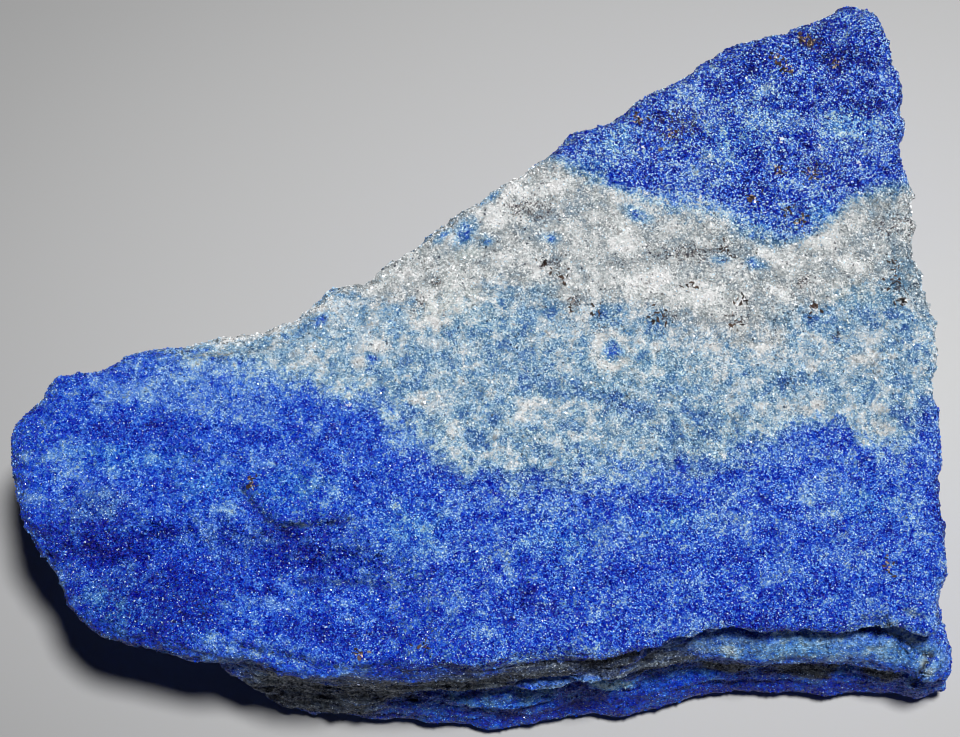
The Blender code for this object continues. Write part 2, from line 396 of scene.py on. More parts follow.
# The upper left edge of the white band, close to the stone's back edge
BAND_BACK = (
    (-12.5, 4.4), (-9.5, 6.2), (-6.5, 7.9), (-3.6, 10.0), (-0.6, 12.3), (2.0, 14.6),
)
# Where the white band meets the pale blue below it
BAND_FRONT = (
    (-11.5, 3.0), (-9.1, 2.4), (-1.9, 2.6), (1.3, 3.5), (4.5, 2.9), (7.3, 1.9), (11.3, 2.7), (15.7, 0.5),
    (20.5, -0.8), (23.0, 0.0), (25.4, 2.2), (30.3, 3.9), (32.4, 4.3), (33.9, 2.8), (36.5, 2.3),
)
# Where the pale blue meets the bright blue front
PALE_FRONT = (
    (-24.0, -1.4), (-21.8, -2.7), (-17.6, -3.7), (-13.4, -4.1), (-10.5, -5.6), (-8.9, -5.9),
    (-7.1, -7.2), (-5.5, -9.0), (-3.5, -10.8), (-1.1, -11.9), (1.3, -12.5), (7.2, -12.3), (11.2, -11.1),
    (16.3, -11.2), (19.5, -10.6), (22.4, -9.1), (26.8, -7.2), (28.5, -7.7), (31.5, -9.3), (33.2, -8.8),
    (36.9, -5.2),
)
# Corners well outside the stone, which close the outlines
FAR_RIGHT_BACK = (60.0, 13.7)
FAR_RIGHT_FRONT = (60.0, 2.3)
FAR_RIGHT_PALE = (60.0, -4.0)
FAR_BACK_RIGHT = (60.0, 60.0)
FAR_BACK_LEFT = (0.0, 60.0)
LEDGE_BACK = (-24.0, 4.0)

BED_NAMES = ("tip", "calcite", "pale")


@dataclass(frozen=True)
class Beds:
    """The beds of colour that cross the stone, which dip as they go down through it.

    Args:
        tip: outline of the deep blue bed at the back.
        calcite: outline of the white bed.
        pale: outline of the pale blue bed, which also runs under the white one.
        dip: how far the beds lie off their place on top for each mm of depth.
    """

    tip: Line = Line(TIP_EDGE + (FAR_RIGHT_BACK, FAR_BACK_RIGHT, FAR_BACK_LEFT))
    calcite: Line = Line(
        BAND_FRONT + (FAR_RIGHT_FRONT, FAR_RIGHT_BACK) + TIP_EDGE[::-1] + BAND_BACK[::-1]
    )
    pale: Line = Line(
        PALE_FRONT + (FAR_RIGHT_PALE, FAR_RIGHT_BACK) + TIP_EDGE[::-1] + BAND_BACK[::-1] + (LEDGE_BACK,)
    )
    dip: tuple[float, float] = (0.10, 0.38)

    def lift(self, spots: np.ndarray) -> tuple[np.ndarray, np.ndarray]:
        """Finds the place on top that lies in the same bed as each spot.

        Args:
            spots: places in mm, one row each.

        Returns:
            The places on top, seen from above, and the spots' depths below it.
        """
        top = TOP_HEIGHT - spots[:, 0] * TOP_FALL[0] - spots[:, 1] * TOP_FALL[1]
        depth = np.clip(top - TOP_SKIN - spots[:, 2], 0.0, None)
        return spots[:, :2] + depth[:, None] * np.array(self.dip), depth

    def mark(self, mesh: bpy.types.Mesh) -> None:
        """Stores each corner's signed distance to every bed, in mm.

        Args:
            mesh: the stone's mesh.
        """
        lifted, _ = self.lift(spots_of(mesh))
        for name in BED_NAMES:
            store(mesh, name, getattr(self, name).inside(lifted))


class Stain(Enum):
    """What a patch of the rock is rich in.

    Each value is its change in white mineral and in paleness, then its shares of azure, soot, rust and
    mica film.
    """

    WHITE = (0.22, 0.35, 0.0, 0.0, 0.0, 0.0)
    LIGHT = (0.10, 0.30, 0.0, 0.0, 0.0, 0.0)
    BLUE = (-0.40, -0.10, 0.0, 0.0, 0.0, 0.0)
    DEEP = (-0.07, -0.25, -0.8, 0.0, 0.0, 0.0)
    AZURE = (0.05, 0.05, 1.0, 0.0, 0.0, 0.0)
    SLATE = (-0.10, -0.25, 0.5, 0.25, 0.0, 0.0)
    # SHADE is painted shade, partly the rock's own darker tone
    SHADE = (-0.06, -0.45, 0.2, 0.15, 0.0, 0.0)
    DULL = (0.09, -0.30, 0.0, 0.20, 0.0, 0.0)
    RUST = (-0.02, -0.10, 0.0, 0.45, 1.0, 0.0)
    FILM = (0.0, 0.0, 0.0, 0.0, 0.0, 1.0)


STAIN_NAMES = ("shift", "glow", "azure", "soot", "rust", "film")

# A patch fades out by this power of the distance, so that its middle is even
PATCH_EDGE = 2.6


@dataclass(frozen=True)
class Patch:
    """A patch of another mineral mix, in mm, seen from above or, on the broken front, from the front.

    Args:
        x: its middle to the right.
        y: its middle to the back, or upwards where it is seen from the front.
        length: half its length.
        width: half its width.
        turn: how far its length is turned from level, in degrees, anticlockwise.
    """

    x: float
    y: float
    length: float
    width: float
    turn: float = 0.0

    def cover(self, spots: np.ndarray) -> np.ndarray:
        """Measures how much of the patch is at each spot.

        Args:
            spots: places seen the way the patch is, one row each.

        Returns:
            Shares from 0 outside to 1 in the middle.
        """
        turn = math.radians(self.turn)
        right = spots[:, 0] - self.x
        back = spots[:, 1] - self.y
        along = (right * math.cos(turn) + back * math.sin(turn)) / self.length
        across = (back * math.cos(turn) - right * math.sin(turn)) / self.width
        return np.exp(-(np.hypot(along, across) ** PATCH_EDGE))


# A white ring lies round a blue spot in the pale bed: its middle and radius, how many patches make it, and
# half their length and width
RING_MIDDLE = (10.2, -1.2)
RING_RADIUS = 1.35
RING_PARTS = 9
RING_PATCH = (0.55, 0.45)
RING = tuple(
    Patch(
        RING_MIDDLE[0] + RING_RADIUS * math.cos(math.tau * part / RING_PARTS),
        RING_MIDDLE[1] + RING_RADIUS * math.sin(math.tau * part / RING_PARTS),
        *RING_PATCH,
    )
    for part in range(RING_PARTS)
)

PATCHES = {
    # Two white patches, at 23.9, 3.9 and 18.2, 15.4, paint the highlights of glinting grain faces
    Stain.WHITE: RING + (
        Patch(26.5, -6.2, 2.2, 1.2), Patch(-25.2, -1.1, 3.4, 0.6, 12), Patch(-18.2, 0.5, 3.4, 0.7, 12),
        Patch(-4.3, 1.7, 1.8, 1.5), Patch(-2.2, 4.3, 1.9, 1.1), Patch(11.0, 8.6, 1.0, 1.8, 15),
        Patch(13.0, 4.2, 1.7, 1.1), Patch(17.3, 3.2, 1.8, 1.0), Patch(23.9, 3.9, 1.3, 0.5, -32),
        Patch(27.0, 8.3, 1.2, 0.8), Patch(29.5, 6.2, 0.9, 0.6), Patch(31.2, -7.7, 1.7, 1.2),
        Patch(-7.7, -6.8, 0.9, 0.6), Patch(-9.8, -2.6, 0.7, 0.4), Patch(18.2, 15.4, 0.6, 0.5),
        Patch(30.3, -1.7, 0.9, 0.6), Patch(14.4, -6.8, 0.6, 0.5), Patch(-20.7, -14.8, 1.0, 0.3, -15),
    ),
    Stain.LIGHT: (
        Patch(18.5, -1.7, 2.2, 1.5), Patch(5.6, 12.8, 1.6, 0.9), Patch(-6.5, 5.0, 1.6, 0.8),
        Patch(3.8, -6.5, 1.8, 1.1), Patch(15.6, 12.1, 2.2, 0.8), Patch(-16.5, -22.0, 2.2, 0.7, -8),
        Patch(-20.0, -25.3, 2.2, 0.5, -15), Patch(11.3, -21.0, 1.2, 1.4, 10),
        Patch(-4.0, -6.0, 1.6, 0.7, -40), Patch(-2.0, -4.0, 1.4, 0.4, -45), Patch(26.0, -2.0, 1.3, 0.5, -60),
        Patch(1.9, -19.5, 0.3, 2.6, 12), Patch(2.6, -23.0, 0.3, 1.6, 30), Patch(29.5, 18.5, 2.6, 1.6),
        Patch(22.5, 18.5, 1.8, 1.2), Patch(24.0, 21.8, 1.8, 0.8), Patch(10.9, -9.8, 1.2, 0.6, -30),
        Patch(33.8, -14.5, 1.2, 2.0), Patch(-18.5, -4.6, 6.5, 1.6, 4), Patch(-11.0, -4.4, 2.4, 2.0),
        Patch(-20.5, -6.7, 3.8, 1.3), Patch(11.5, -11.8, 3.4, 1.1), Patch(19.0, -15.2, 1.8, 1.8),
        Patch(16.8, 20.0, 2.0, 1.8), Patch(18.0, 13.2, 3.0, 1.2), Patch(10.0, 15.4, 2.0, 1.0),
        Patch(30.2, 16.0, 2.2, 1.3), Patch(17.6, 10.8, 2.4, 1.0), Patch(22.4, -1.6, 2.6, 1.4),
        Patch(7.6, 0.8, 2.0, 1.0), Patch(-13.0, 1.4, 1.8, 1.1), Patch(-8.6, 1.0, 1.6, 1.0),
        Patch(10.2, -16.4, 2.0, 1.2), Patch(5.4, -14.4, 2.4, 1.0), Patch(-7.0, -8.8, 2.2, 1.3),
        Patch(27.0, -13.6, 3.6, 1.3), Patch(-22.0, -3.4, 4.4, 1.6), Patch(-13.0, -1.8, 2.6, 1.6),
        Patch(-8.8, -1.2, 2.2, 1.4), Patch(2.0, 11.0, 2.4, 1.6, 35), Patch(24.0, -9.8, 4.6, 1.0),
        Patch(19.0, 15.0, 2.2, 1.6), Patch(31.5, -24.0, 4.0, 1.4), Patch(-1.0, -13.8, 2.4, 1.0),
        Patch(-26.0, -5.0, 3.0, 1.0),
    ),
    Stain.BLUE: (
        Patch(-1.6, 8.6, 1.5, 0.9, 55), Patch(0.2, 7.8, 0.5, 0.35), Patch(0.6, 11.6, 1.3, 0.3, 33),
        Patch(-3.3, 8.4, 1.0, 0.35, 35), Patch(12.4, 10.2, 1.3, 0.7, -25), Patch(5.3, 8.3, 0.7, 0.4, -10),
        Patch(19.1, 6.5, 0.8, 0.4), Patch(21.9, 6.3, 0.9, 0.5), Patch(-8.9, -2.4, 0.5, 0.4),
        Patch(-12.9, 1.0, 0.7, 0.45, 20), Patch(10.2, -1.2, 0.8, 0.7),
    ),
    Stain.DEEP: (
        Patch(10.2, -24.0, 2.4, 1.5), Patch(4.2, -11.9, 1.6, 0.6),
        Patch(-3.5, -11.6, 3.4, 1.0), Patch(-26.5, -8.6, 6.0, 1.0),
        Patch(4.0, -21.8, 2.4, 2.4), Patch(22.0, -22.0, 3.4, 1.4), Patch(-16.5, -18.3, 2.0, 1.2),
        Patch(25.5, -16.6, 2.0, 1.2), Patch(11.6, -19.8, 2.0, 1.6), Patch(25.0, 21.0, 4.0, 1.8),
    ),
    Stain.AZURE: (
        Patch(24.0, 20.4, 3.4, 2.0), Patch(21.0, 16.6, 2.6, 1.8), Patch(30.0, 18.6, 3.0, 1.8),
        Patch(10.6, 16.8, 2.2, 1.4), Patch(22.7, 9.6, 1.6, 0.7), Patch(30.0, 3.6, 2.8, 1.2),
        Patch(-5.6, -16.3, 3.2, 2.0), Patch(-15.5, -13.1, 3.6, 1.7), Patch(-28.5, -10.6, 5.2, 1.3),
        Patch(-22.0, -12.8, 3.0, 1.4), Patch(6.0, -17.0, 2.8, 1.8), Patch(-29.0, -22.4, 2.6, 1.6, -35),
        Patch(-1.4, 6.8, 1.0, 0.5, 10), Patch(9.4, 14.3, 1.8, 0.8, -20), Patch(26.8, 10.6, 1.9, 1.0),
        Patch(15.0, -15.4, 2.4, 1.1), Patch(30.5, -13.8, 2.2, 1.4), Patch(-1.5, 1.6, 3.2, 1.8),
        Patch(12.5, -2.6, 4.4, 1.8),
    ),
    Stain.SLATE: (
        Patch(10.4, -5.4, 2.2, 1.4), Patch(34.2, 4.6, 2.2, 2.0),
        Patch(23.8, 2.2, 1.7, 1.3, 20), Patch(4.7, 3.9, 1.4, 0.9), Patch(33.7, 6.4, 1.2, 2.9),
        Patch(24.4, -3.6, 1.2, 1.2), Patch(17.6, -7.6, 2.6, 1.6), Patch(-23.5, -23.0, 3.2, 1.6),
    ),
    # The SHADE patches are painted shade, partly the rock's own darker tone
    Stain.SHADE: (
        Patch(-30.0, -17.6, 4.4, 1.9, -4), Patch(-23.0, -20.0, 5.0, 1.9, -4),
        Patch(-29.0, -23.0, 4.0, 2.0, -30), Patch(33.2, 11.4, 1.8, 1.2), Patch(34.2, 5.6, 1.6, 2.0),
        Patch(36.6, -14.0, 1.2, 2.4),
        Patch(-10.0, -24.2, 4.0, 1.8), Patch(-21.0, -18.6, 2.6, 1.4), Patch(27.0, 26.0, 2.6, 1.4),
        Patch(20.4, 8.2, 2.2, 1.0), Patch(-15.6, -16.3, 2.2, 0.5, -14),
        Patch(-12.0, -18.2, 3.4, 0.8, -6), Patch(-18.4, -20.6, 2.6, 0.7), Patch(-24.5, -16.5, 2.0, 0.8),
        Patch(22.0, 13.0, 1.4, 0.7, -20), Patch(29.5, 24.2, 2.4, 1.4), Patch(25.6, 10.6, 0.4, 0.8),
        Patch(-8.6, -8.9, 0.4, 1.2, -20), Patch(21.8, 23.2, 1.6, 0.8, 20), Patch(31.0, 20.0, 2.2, 0.6),
    ),
    Stain.DULL: (
        Patch(-28.0, -21.2, 7.0, 3.4, -22), Patch(-16.0, -17.8, 5.0, 1.6, -8), Patch(-30.0, -15.0, 3.0, 1.6),
    ),
    Stain.RUST: (
        Patch(15.6, 18.2, 2.0, 1.4), Patch(33.6, 9.8, 1.8, 0.9), Patch(6.1, 6.4, 0.9, 0.6, 30),
        Patch(11.4, 6.2, 0.9, 0.3), Patch(7.3, 2.8, 0.8, 0.4), Patch(14.7, 1.6, 0.9, 0.4),
        Patch(20.4, 1.5, 0.8, 0.6), Patch(9.4, 0.6, 0.6, 0.4), Patch(-3.8, 4.3, 0.6, 0.4),
        Patch(-5.2, 2.5, 0.4, 0.4), Patch(27.0, 25.4, 1.0, 0.7), Patch(27.3, 14.6, 0.9, 0.6),
        Patch(28.5, 0.4, 0.5, 0.4), Patch(33.6, 4.4, 0.9, 0.6), Patch(16.5, 6.9, 3.0, 0.9),
        Patch(25.6, 4.6, 0.9, 0.6), Patch(3.8, 10.6, 2.2, 1.0),
    ),
}


# The patches on the broken front, seen from the front: the places are to the right and up, in mm
FRONT_PATCHES = {
    Stain.FILM: (
        Patch(-15.5, 9.0, 5.0, 6.0), Patch(-9.0, 10.0, 5.0, 5.0), Patch(-2.0, 11.5, 5.0, 4.0),
        Patch(4.5, 14.0, 4.5, 2.4), Patch(9.5, 14.2, 3.6, 2.2), Patch(14.0, 10.0, 3.6, 2.6),
        Patch(-13.5, 4.5, 6.0, 3.2), Patch(19.5, 6.6, 3.0, 1.6), Patch(26.0, 5.6, 3.0, 1.2),
        Patch(32.0, 5.6, 2.0, 1.2),
    ),
    # The light patches from 2 to 29 mm to the right, on the chips and the shelf, are painted light where
    # these faces catch the light
    Stain.LIGHT: (
        Patch(2.0, 6.3, 4.2, 1.0, -4), Patch(4.8, 9.8, 2.0, 0.9, -6), Patch(9.5, 10.8, 2.6, 1.2, -10),
        Patch(10.5, 6.3, 2.4, 1.1, -8), Patch(12.5, 9.6, 1.8, 0.5, 6), Patch(21.0, 12.4, 5.0, 2.4),
        Patch(29.0, 12.2, 6.0, 2.4),
        Patch(36.0, 10.2, 1.6, 1.2),
    ),
    # The white patches on the chips, at 5.4, 9.0 and 10.5 mm to the right, are painted light too
    Stain.WHITE: (
        Patch(19.6, 11.2, 1.0, 0.8), Patch(35.3, 9.6, 0.5, 1.4),
        Patch(5.4, 9.6, 1.6, 0.7, -6), Patch(9.0, 11.0, 2.2, 0.9, -10), Patch(10.5, 6.6, 2.0, 0.9, -8),
    ),
    Stain.AZURE: (Patch(24.0, 11.5, 6.0, 1.4), Patch(33.0, 11.0, 4.0, 1.2), Patch(10.0, 4.0, 30.0, 4.5)),
    Stain.DEEP: (Patch(25.0, 2.2, 11.0, 1.4), Patch(6.0, 2.4, 6.0, 1.2)),
    # The slate patch darkens the whole lower front: painted shade, partly its own duller tone
    Stain.SLATE: (Patch(10.0, 3.0, 30.0, 4.5),),
}


# The grain is finer at the stone's left end, over this stretch left of the middle in mm, and on its front
CALM_STRETCH = (-8.0, 24.0)
CALM_LEFT = 0.30
CALM_FRONT = 0.75

# The front's patches come in over this depth below the top in mm, on faces that look this far forward
FRONT_DEPTH = (0.3, 1.2)
FRONT_FACING = (-0.1, 0.35)
# The top's patches fade with depth at about this many mm
PATCH_DEPTH = 2.5


def stain(mesh: bpy.types.Mesh, beds: Beds) -> None:
    """Stores how much of each stain is at each corner of the stone, and the painted shade of its cracks.

    Args:
        mesh: the stone's mesh.
        beds: the beds, whose dip the patches follow.
    """
    spots = spots_of(mesh)
    facing = facing_of(mesh)
    lifted, depth = beds.lift(spots)
    forward = ease(depth, *FRONT_DEPTH) * ease(-facing[:, 1], *FRONT_FACING)
    views = (
        (PATCHES, lifted, np.exp(-depth / PATCH_DEPTH)),
        (FRONT_PATCHES, spots[:, [0, 2]], forward),
    )
    totals = np.zeros((len(STAIN_NAMES), len(spots)))
    for patches, seen, strength in views:
        for kind, group in patches.items():
            cover = np.max([patch.cover(seen) for patch in group], axis=0)
            totals += np.array(kind.value)[:, None] * (cover * strength)
    for name, total in zip(STAIN_NAMES, totals):
        store(mesh, name, total)
    finer = CALM_LEFT * ease(-spots[:, 0], *CALM_STRETCH)
    store(mesh, "calm", np.maximum(finer, CALM_FRONT * forward))
    # The cracks' dark, stored as gap, is painted shade
    store(mesh, "gap", np.max([crack.gap(spots, facing) for crack in CRACKS.values()], axis=0))


# A crack this deep in mm gets its full painted shade
SHADE_DEPTH = 0.4
# It cuts, and paints shade on, faces that look this far up
CUT_FACING = (0.25, 0.6)
SHADE_FACING = (0.0, 0.4)


@dataclass(frozen=True)
class Crack:
    """An open crack in the top face.

    Args:
        line: its course.
        depth: how deep it is cut, in mm.
        width: how wide its mouth is, in mm.
        step: how far its right side lies below its left, in mm.
        reach: how far from the crack the step fades out, in mm.
    """

    line: Line
    depth: float
    width: float
    step: float = 0.0
    reach: float = 2.5

    def cut(self, spots: np.ndarray, facing: np.ndarray) -> np.ndarray:
        """Works out how far the crack lowers each corner.

        Args:
            spots: the corners in mm.
            facing: the corners' directions.

        Returns:
            How far each corner goes down, in mm.
        """
        reach, side = self.line.measure(spots[:, :2])
        upward = ease(facing[:, 2], *CUT_FACING)
        groove = self.depth * np.exp(-((reach / self.width) ** 2))
        lowered = np.where(side < 0, self.step * (1.0 - ease(reach, 0.0, self.reach)), 0.0)
        return (groove + lowered) * upward

    def gap(self, spots: np.ndarray, facing: np.ndarray) -> np.ndarray:
        """Works out how much painted shade the crack lays on each corner, from 0 to 1.

        Args:
            spots: the corners in mm.
            facing: the corners' directions.

        Returns:
            Each corner's share of painted shade.
        """
        reach, _ = self.line.measure(spots[:, :2])
        share = min(self.depth / SHADE_DEPTH, 1.0)
        return share * np.exp(-((reach / self.width) ** 2)) * ease(facing[:, 2], *SHADE_FACING)


CRACKS = {
    "hairline": Crack(Line(((-12.5, -2.6), (-12.9, -4.1), (-13.0, -5.8), (-13.0, -7.4))), 0.12, 0.16),
    "step_left": Crack(
        Line((
            (-19.0, -13.1), (-18.0, -14.5), (-17.2, -15.3), (-16.0, -16.0), (-12.9, -15.9), (-10.9, -15.6),
        )),
        0.35, 0.3, 0.25,
    ),
    "ledge": Crack(Line(((-25.2, -2.7), (-21.5, -2.0), (-17.0, -1.5))), 0.2, 0.22),
    "step_low": Crack(Line(((-14.4, -20.1), (-9.7, -20.2), (-7.6, -20.5))), 0.25, 0.3, 0.2),
    "lip": Crack(
        Line((
            (-19.0, -25.4), (-15.9, -26.0), (-14.3, -26.3), (-12.9, -26.9), (-11.2, -27.0),
            (-8.9, -26.9), (-7.7, -26.7), (-5.4, -27.4),
        )),
        0.5, 0.25,
    ),
    "middle": Crack(Line(((4.4, -25.9), (5.5, -25.8), (6.7, -26.1))), 0.35, 0.2),
    "right_upper": Crack(Line(((29.7, -23.2), (31.1, -23.2), (33.1, -23.9))), 0.4, 0.22),
    "right_short": Crack(Line(((33.1, -22.4), (34.7, -22.9))), 0.3, 0.2),
    "right_lower": Crack(Line(((33.1, -24.0), (34.6, -24.8), (35.8, -24.9))), 0.4, 0.22),
    "block": Crack(Line(((34.0, -27.1), (34.6, -26.4), (35.2, -25.6), (35.8, -24.8))), 0.5, 0.25),
}


# A push fades out by this power of the distance, so that its middle moves as one
NUDGE_EDGE = 4


@dataclass(frozen=True)
class Nudge:
    """A smooth push on one part of the stone.

    Args:
        middle: the part's middle, in mm.
        reach: how far the push reaches from there along each axis, in mm.
        move: how far the middle goes, in mm.
    """

    middle: Triple
    reach: Triple
    move: Triple

    def shift(self, spots: np.ndarray) -> np.ndarray:
        """Works out how far each corner goes.

        Args:
            spots: the corners in mm.

        Returns:
            Each corner's move, in mm.
        """
        away = np.linalg.norm((spots - np.array(self.middle)) / np.array(self.reach), axis=1)
        return np.exp(-(away ** NUDGE_EDGE))[:, None] * np.array(self.move)


# The pushes on the broken front: on its shelf, its rim, the wall and the chips that stand out of it, the
# hollow, and the block and corner at its right end
NUDGES = {
    "shelf": Nudge((27.5, -23.7, 12.0), (8.5, 1.9, 2.2), (0.0, -0.3, 1.4)),
    "rim": Nudge((27.5, -23.4, 15.2), (7.5, 1.0, 1.1), (0.0, -0.4, -0.3)),
    "wall": Nudge((-2.0, -26.0, 12.3), (15.0, 1.7, 3.3), (0.0, -1.3, 0.0)),
    "chip_low": Nudge((2.0, -27.2, 6.0), (4.2, 1.8, 1.3), (0.0, -0.8, 0.5)),
    "chip_left": Nudge((4.8, -25.8, 9.8), (2.2, 1.6, 1.2), (0.0, -0.9, 0.5)),
    "chip_right": Nudge((9.2, -25.5, 11.0), (2.6, 1.5, 1.4), (0.0, -1.0, 0.5)),
    "chip_far": Nudge((10.8, -25.7, 6.5), (2.4, 1.6, 1.3), (0.0, -0.9, 0.5)),
    "hollow": Nudge((27.0, -24.4, 7.4), (9.0, 1.4, 1.9), (0.0, -0.5, 0.0)),
    "block": Nudge((34.6, -26.8, 5.5), (1.8, 1.8, 6.5), (0.0, 0.6, 0.0)),
    "corner": Nudge((37.6, -25.6, 5.0), (1.5, 1.6, 4.5), (0.1, -0.3, 0.0)),
}

# How far the foot of the broken front is set back, in mm, at places along the stone, in mm
FOOT = (
    (-26.0, 0.0), (-20.5, -0.6), (-17.0, -0.3), (-14.0, 0.05), (-11.5, 0.75), (-7.0, 0.25), (-2.0, 0.2),
    (1.5, 0.3), (4.0, -0.4), (7.0, 0.1), (9.0, -0.2), (11.0, -0.95), (14.0, -0.85), (17.0, -0.3),
    (22.0, 0.35), (27.0, -0.1), (31.5, -0.5), (34.5, -0.3), (37.0, 0.1), (38.5, -0.7),
)
# The foot ends over this stretch of height in mm, and is made of faces that look this far forward
FOOT_HEIGHT = (2.0, 6.0)
FOOT_FACING = (0.0, 0.3)


# Finishes

@dataclass(frozen=True)
class Palette:
    """The rock's colours at an even lightness, which its grains are paler or deeper than.

    Args:
        stops: places from 0, the purest blue, to 1, all white, with the colour there.
        gain: how much brighter a grain is than its colour here, as rough ground loses light between its
            grains.
        azure: what turns the blue towards sky blue, by multiplying.
        glint: the painted highlight of a grain face that catches the light.
        soot: the dark mineral between the grains.
        rust: the brown stain in the white bed.
        film: the mica film on the broken front, in its dark streaks and its pale ones.
    """

    stops: tuple[tuple[float, Colour], ...] = (
        (0.000, (0.006, 0.038, 0.400)),
        (0.235, (0.0125, 0.082, 0.550)),
        (0.420, (0.075, 0.195, 0.500)),
        (0.600, (0.215, 0.361, 0.508)),
        (0.830, (0.445, 0.470, 0.480)),
        (1.000, (0.660, 0.680, 0.680)),
    )
    gain: float = 1.43
    azure: Colour = (0.78, 1.12, 1.0)
    glint: Colour = (0.660, 0.860, 1.000)
    soot: Colour = (0.008, 0.012, 0.040)
    # soot: the dark mineral between the grains, also the colour of the cracks' painted shade.
    rust: Colour = (0.150, 0.105, 0.080)
    film: tuple[Colour, Colour] = ((0.030, 0.044, 0.074), (0.088, 0.106, 0.104))


@dataclass(frozen=True)
class Reading:
    """What the rock's material knows of each place. Every noise is around 0.

    Args:
        spot: the place in mm.
        tip: share of the deep blue bed at the back.
        calcite: share of the white bed.
        pale: share of the pale blue bed.
        fray: fine noise that makes edges ragged.
        clouds: broad noise, drawn out along the stone.
        mottle: noise in spots of about a mm.
        crumbs: noise finer than the lumps.
        seam: share of the pale seams between lumps.
        calm: how much weaker the grain is, from 0 to 1.
        lump: each lump's own number.
        crest: how near a lump's middle the place is.
        large: three random numbers from 0 to 1 for each large grain.
        small: the same for each small grain.
    """

    spot: Socket
    tip: Socket
    calcite: Socket
    pale: Socket
    fray: Socket
    clouds: Socket
    mottle: Socket
    crumbs: Socket
    seam: Socket
    calm: Socket
    lump: Socket
    crest: Socket
    large: bpy.types.NodeOutputs
    small: bpy.types.NodeOutputs


Strengths = dict[str, Triple]

# How strongly each noise adds white mineral, in the blue, the pale and the white bed
WHITENESS: Strengths = {
    "clouds": (0.28, 0.30, 0.14),
    "mottle": (0.28, 0.34, 0.14),
    "crumbs": (0.10, 0.12, 0.08),
    "lump": (0.06, 0.10, 0.06),
    "crest": (0.05, 0.08, 0.05),
    "seam": (0.05, 0.10, 0.03),
}
# How strongly each one makes the rock paler at the same mix
PALENESS: Strengths = {
    "clouds": (0.60, 0.60, 0.90),
    "mottle": (1.45, 0.95, 1.25),
    "crumbs": (1.10, 0.90, 1.00),
    "seam": (0.15, 0.45, 0.50),
    "lump": (0.15, 0.25, 0.30),
    "crest": (0.35, 0.60, 0.75),
}


# The rock's noises
DRIFT = Cloud(0.35)
FRAY = Cloud(1.6, 4.0, 0.7)
SEAM_SPREAD = Cloud(0.55, 2.0, 0.5)
CLOUDS = Cloud(0.36, stretch=(0.5, 1.0, 1.0))
MOTTLE = Cloud(0.95)
CRUMBS = Cloud(3.4, 2.0)
SKY = Cloud(0.5, 2.0, 0.55)
FILM_STREAKS = Cloud(1.0, 4.0, 0.65, (0.22, 1.0, 1.5))
FILM_LEAVES = Cloud(1.0, stretch=(0.35, 1.0, 3.0))
GRIME = Cloud(1.8, 3.0, 0.65)

# How far the broad and the fine noise push a bed's edge, in mm, and the stretch over which each bed comes in
RAGGED = (3.6, 5.0)
BED_EDGES = {"tip": (-0.8, 1.8), "calcite": (-1.3, 1.5), "pale": (-1.5, 1.9)}

# Seams come in as their noise rises over this range, and fade over this distance from their middle; a lump's
# crest is this near its own middle
SEAM_SHOWN = (0.42, 0.60)
SEAM_WIDTH = (0.02, 0.17)
CREST = 0.42

# In the next lines, four numbers are a ramp: the range that is read, then the results at its two ends.
# A patch is weaker where the fine noise is low.
PATCH_FRAY = (-0.25, 0.2, 0.5, 1.3)
# Sky blue comes by noise, with this strength and level, and fades as white mineral comes in
SKY_CLOUDS = (0.9, -0.45)
SKY_FADE = (0.32, 0.55, 1.0, 0.12)
# The least that a grain's power may be
PALEST = 0.2
# The film: how torn its edge is, where it comes in, and the range of its leaves' tones
FILM_TORN = 1.6
FILM_EDGE = (0.15, 0.75, 0.0, 0.92)
FILM_TONES = (0.38, 0.66)
# Painted glints: how rare they are, and how much rarer in calm rock and commoner in the tip
GLINTS = (0.960, 0.985, 0.0, 0.9)
GLINT_CALM = -0.03
GLINT_TIP = 0.012
# Dirt comes in as its noise rises over this range
GRIME_RANGE = (0.38, 0.62)
# Rust: a grain's number, times the first and plus the second, has to be below its share; then its strength
RUST_CHANCE = (1.2, 0.05)
RUST_STRENGTH = 0.6
# Soot: its strength in a patch, its share in the rock and in the tip, and how dark small and large grains get
SOOT_STRENGTH = 0.9
SOOT_SHARE = (0.03, 0.08)
SOOT_DARK = (0.50, 0.30)
# A crack's painted shade is weak where the crumbs and the mottle are low, which breaks its line up
CRACK_TORN = (-0.12, 0.06, 0.15, 1.0)


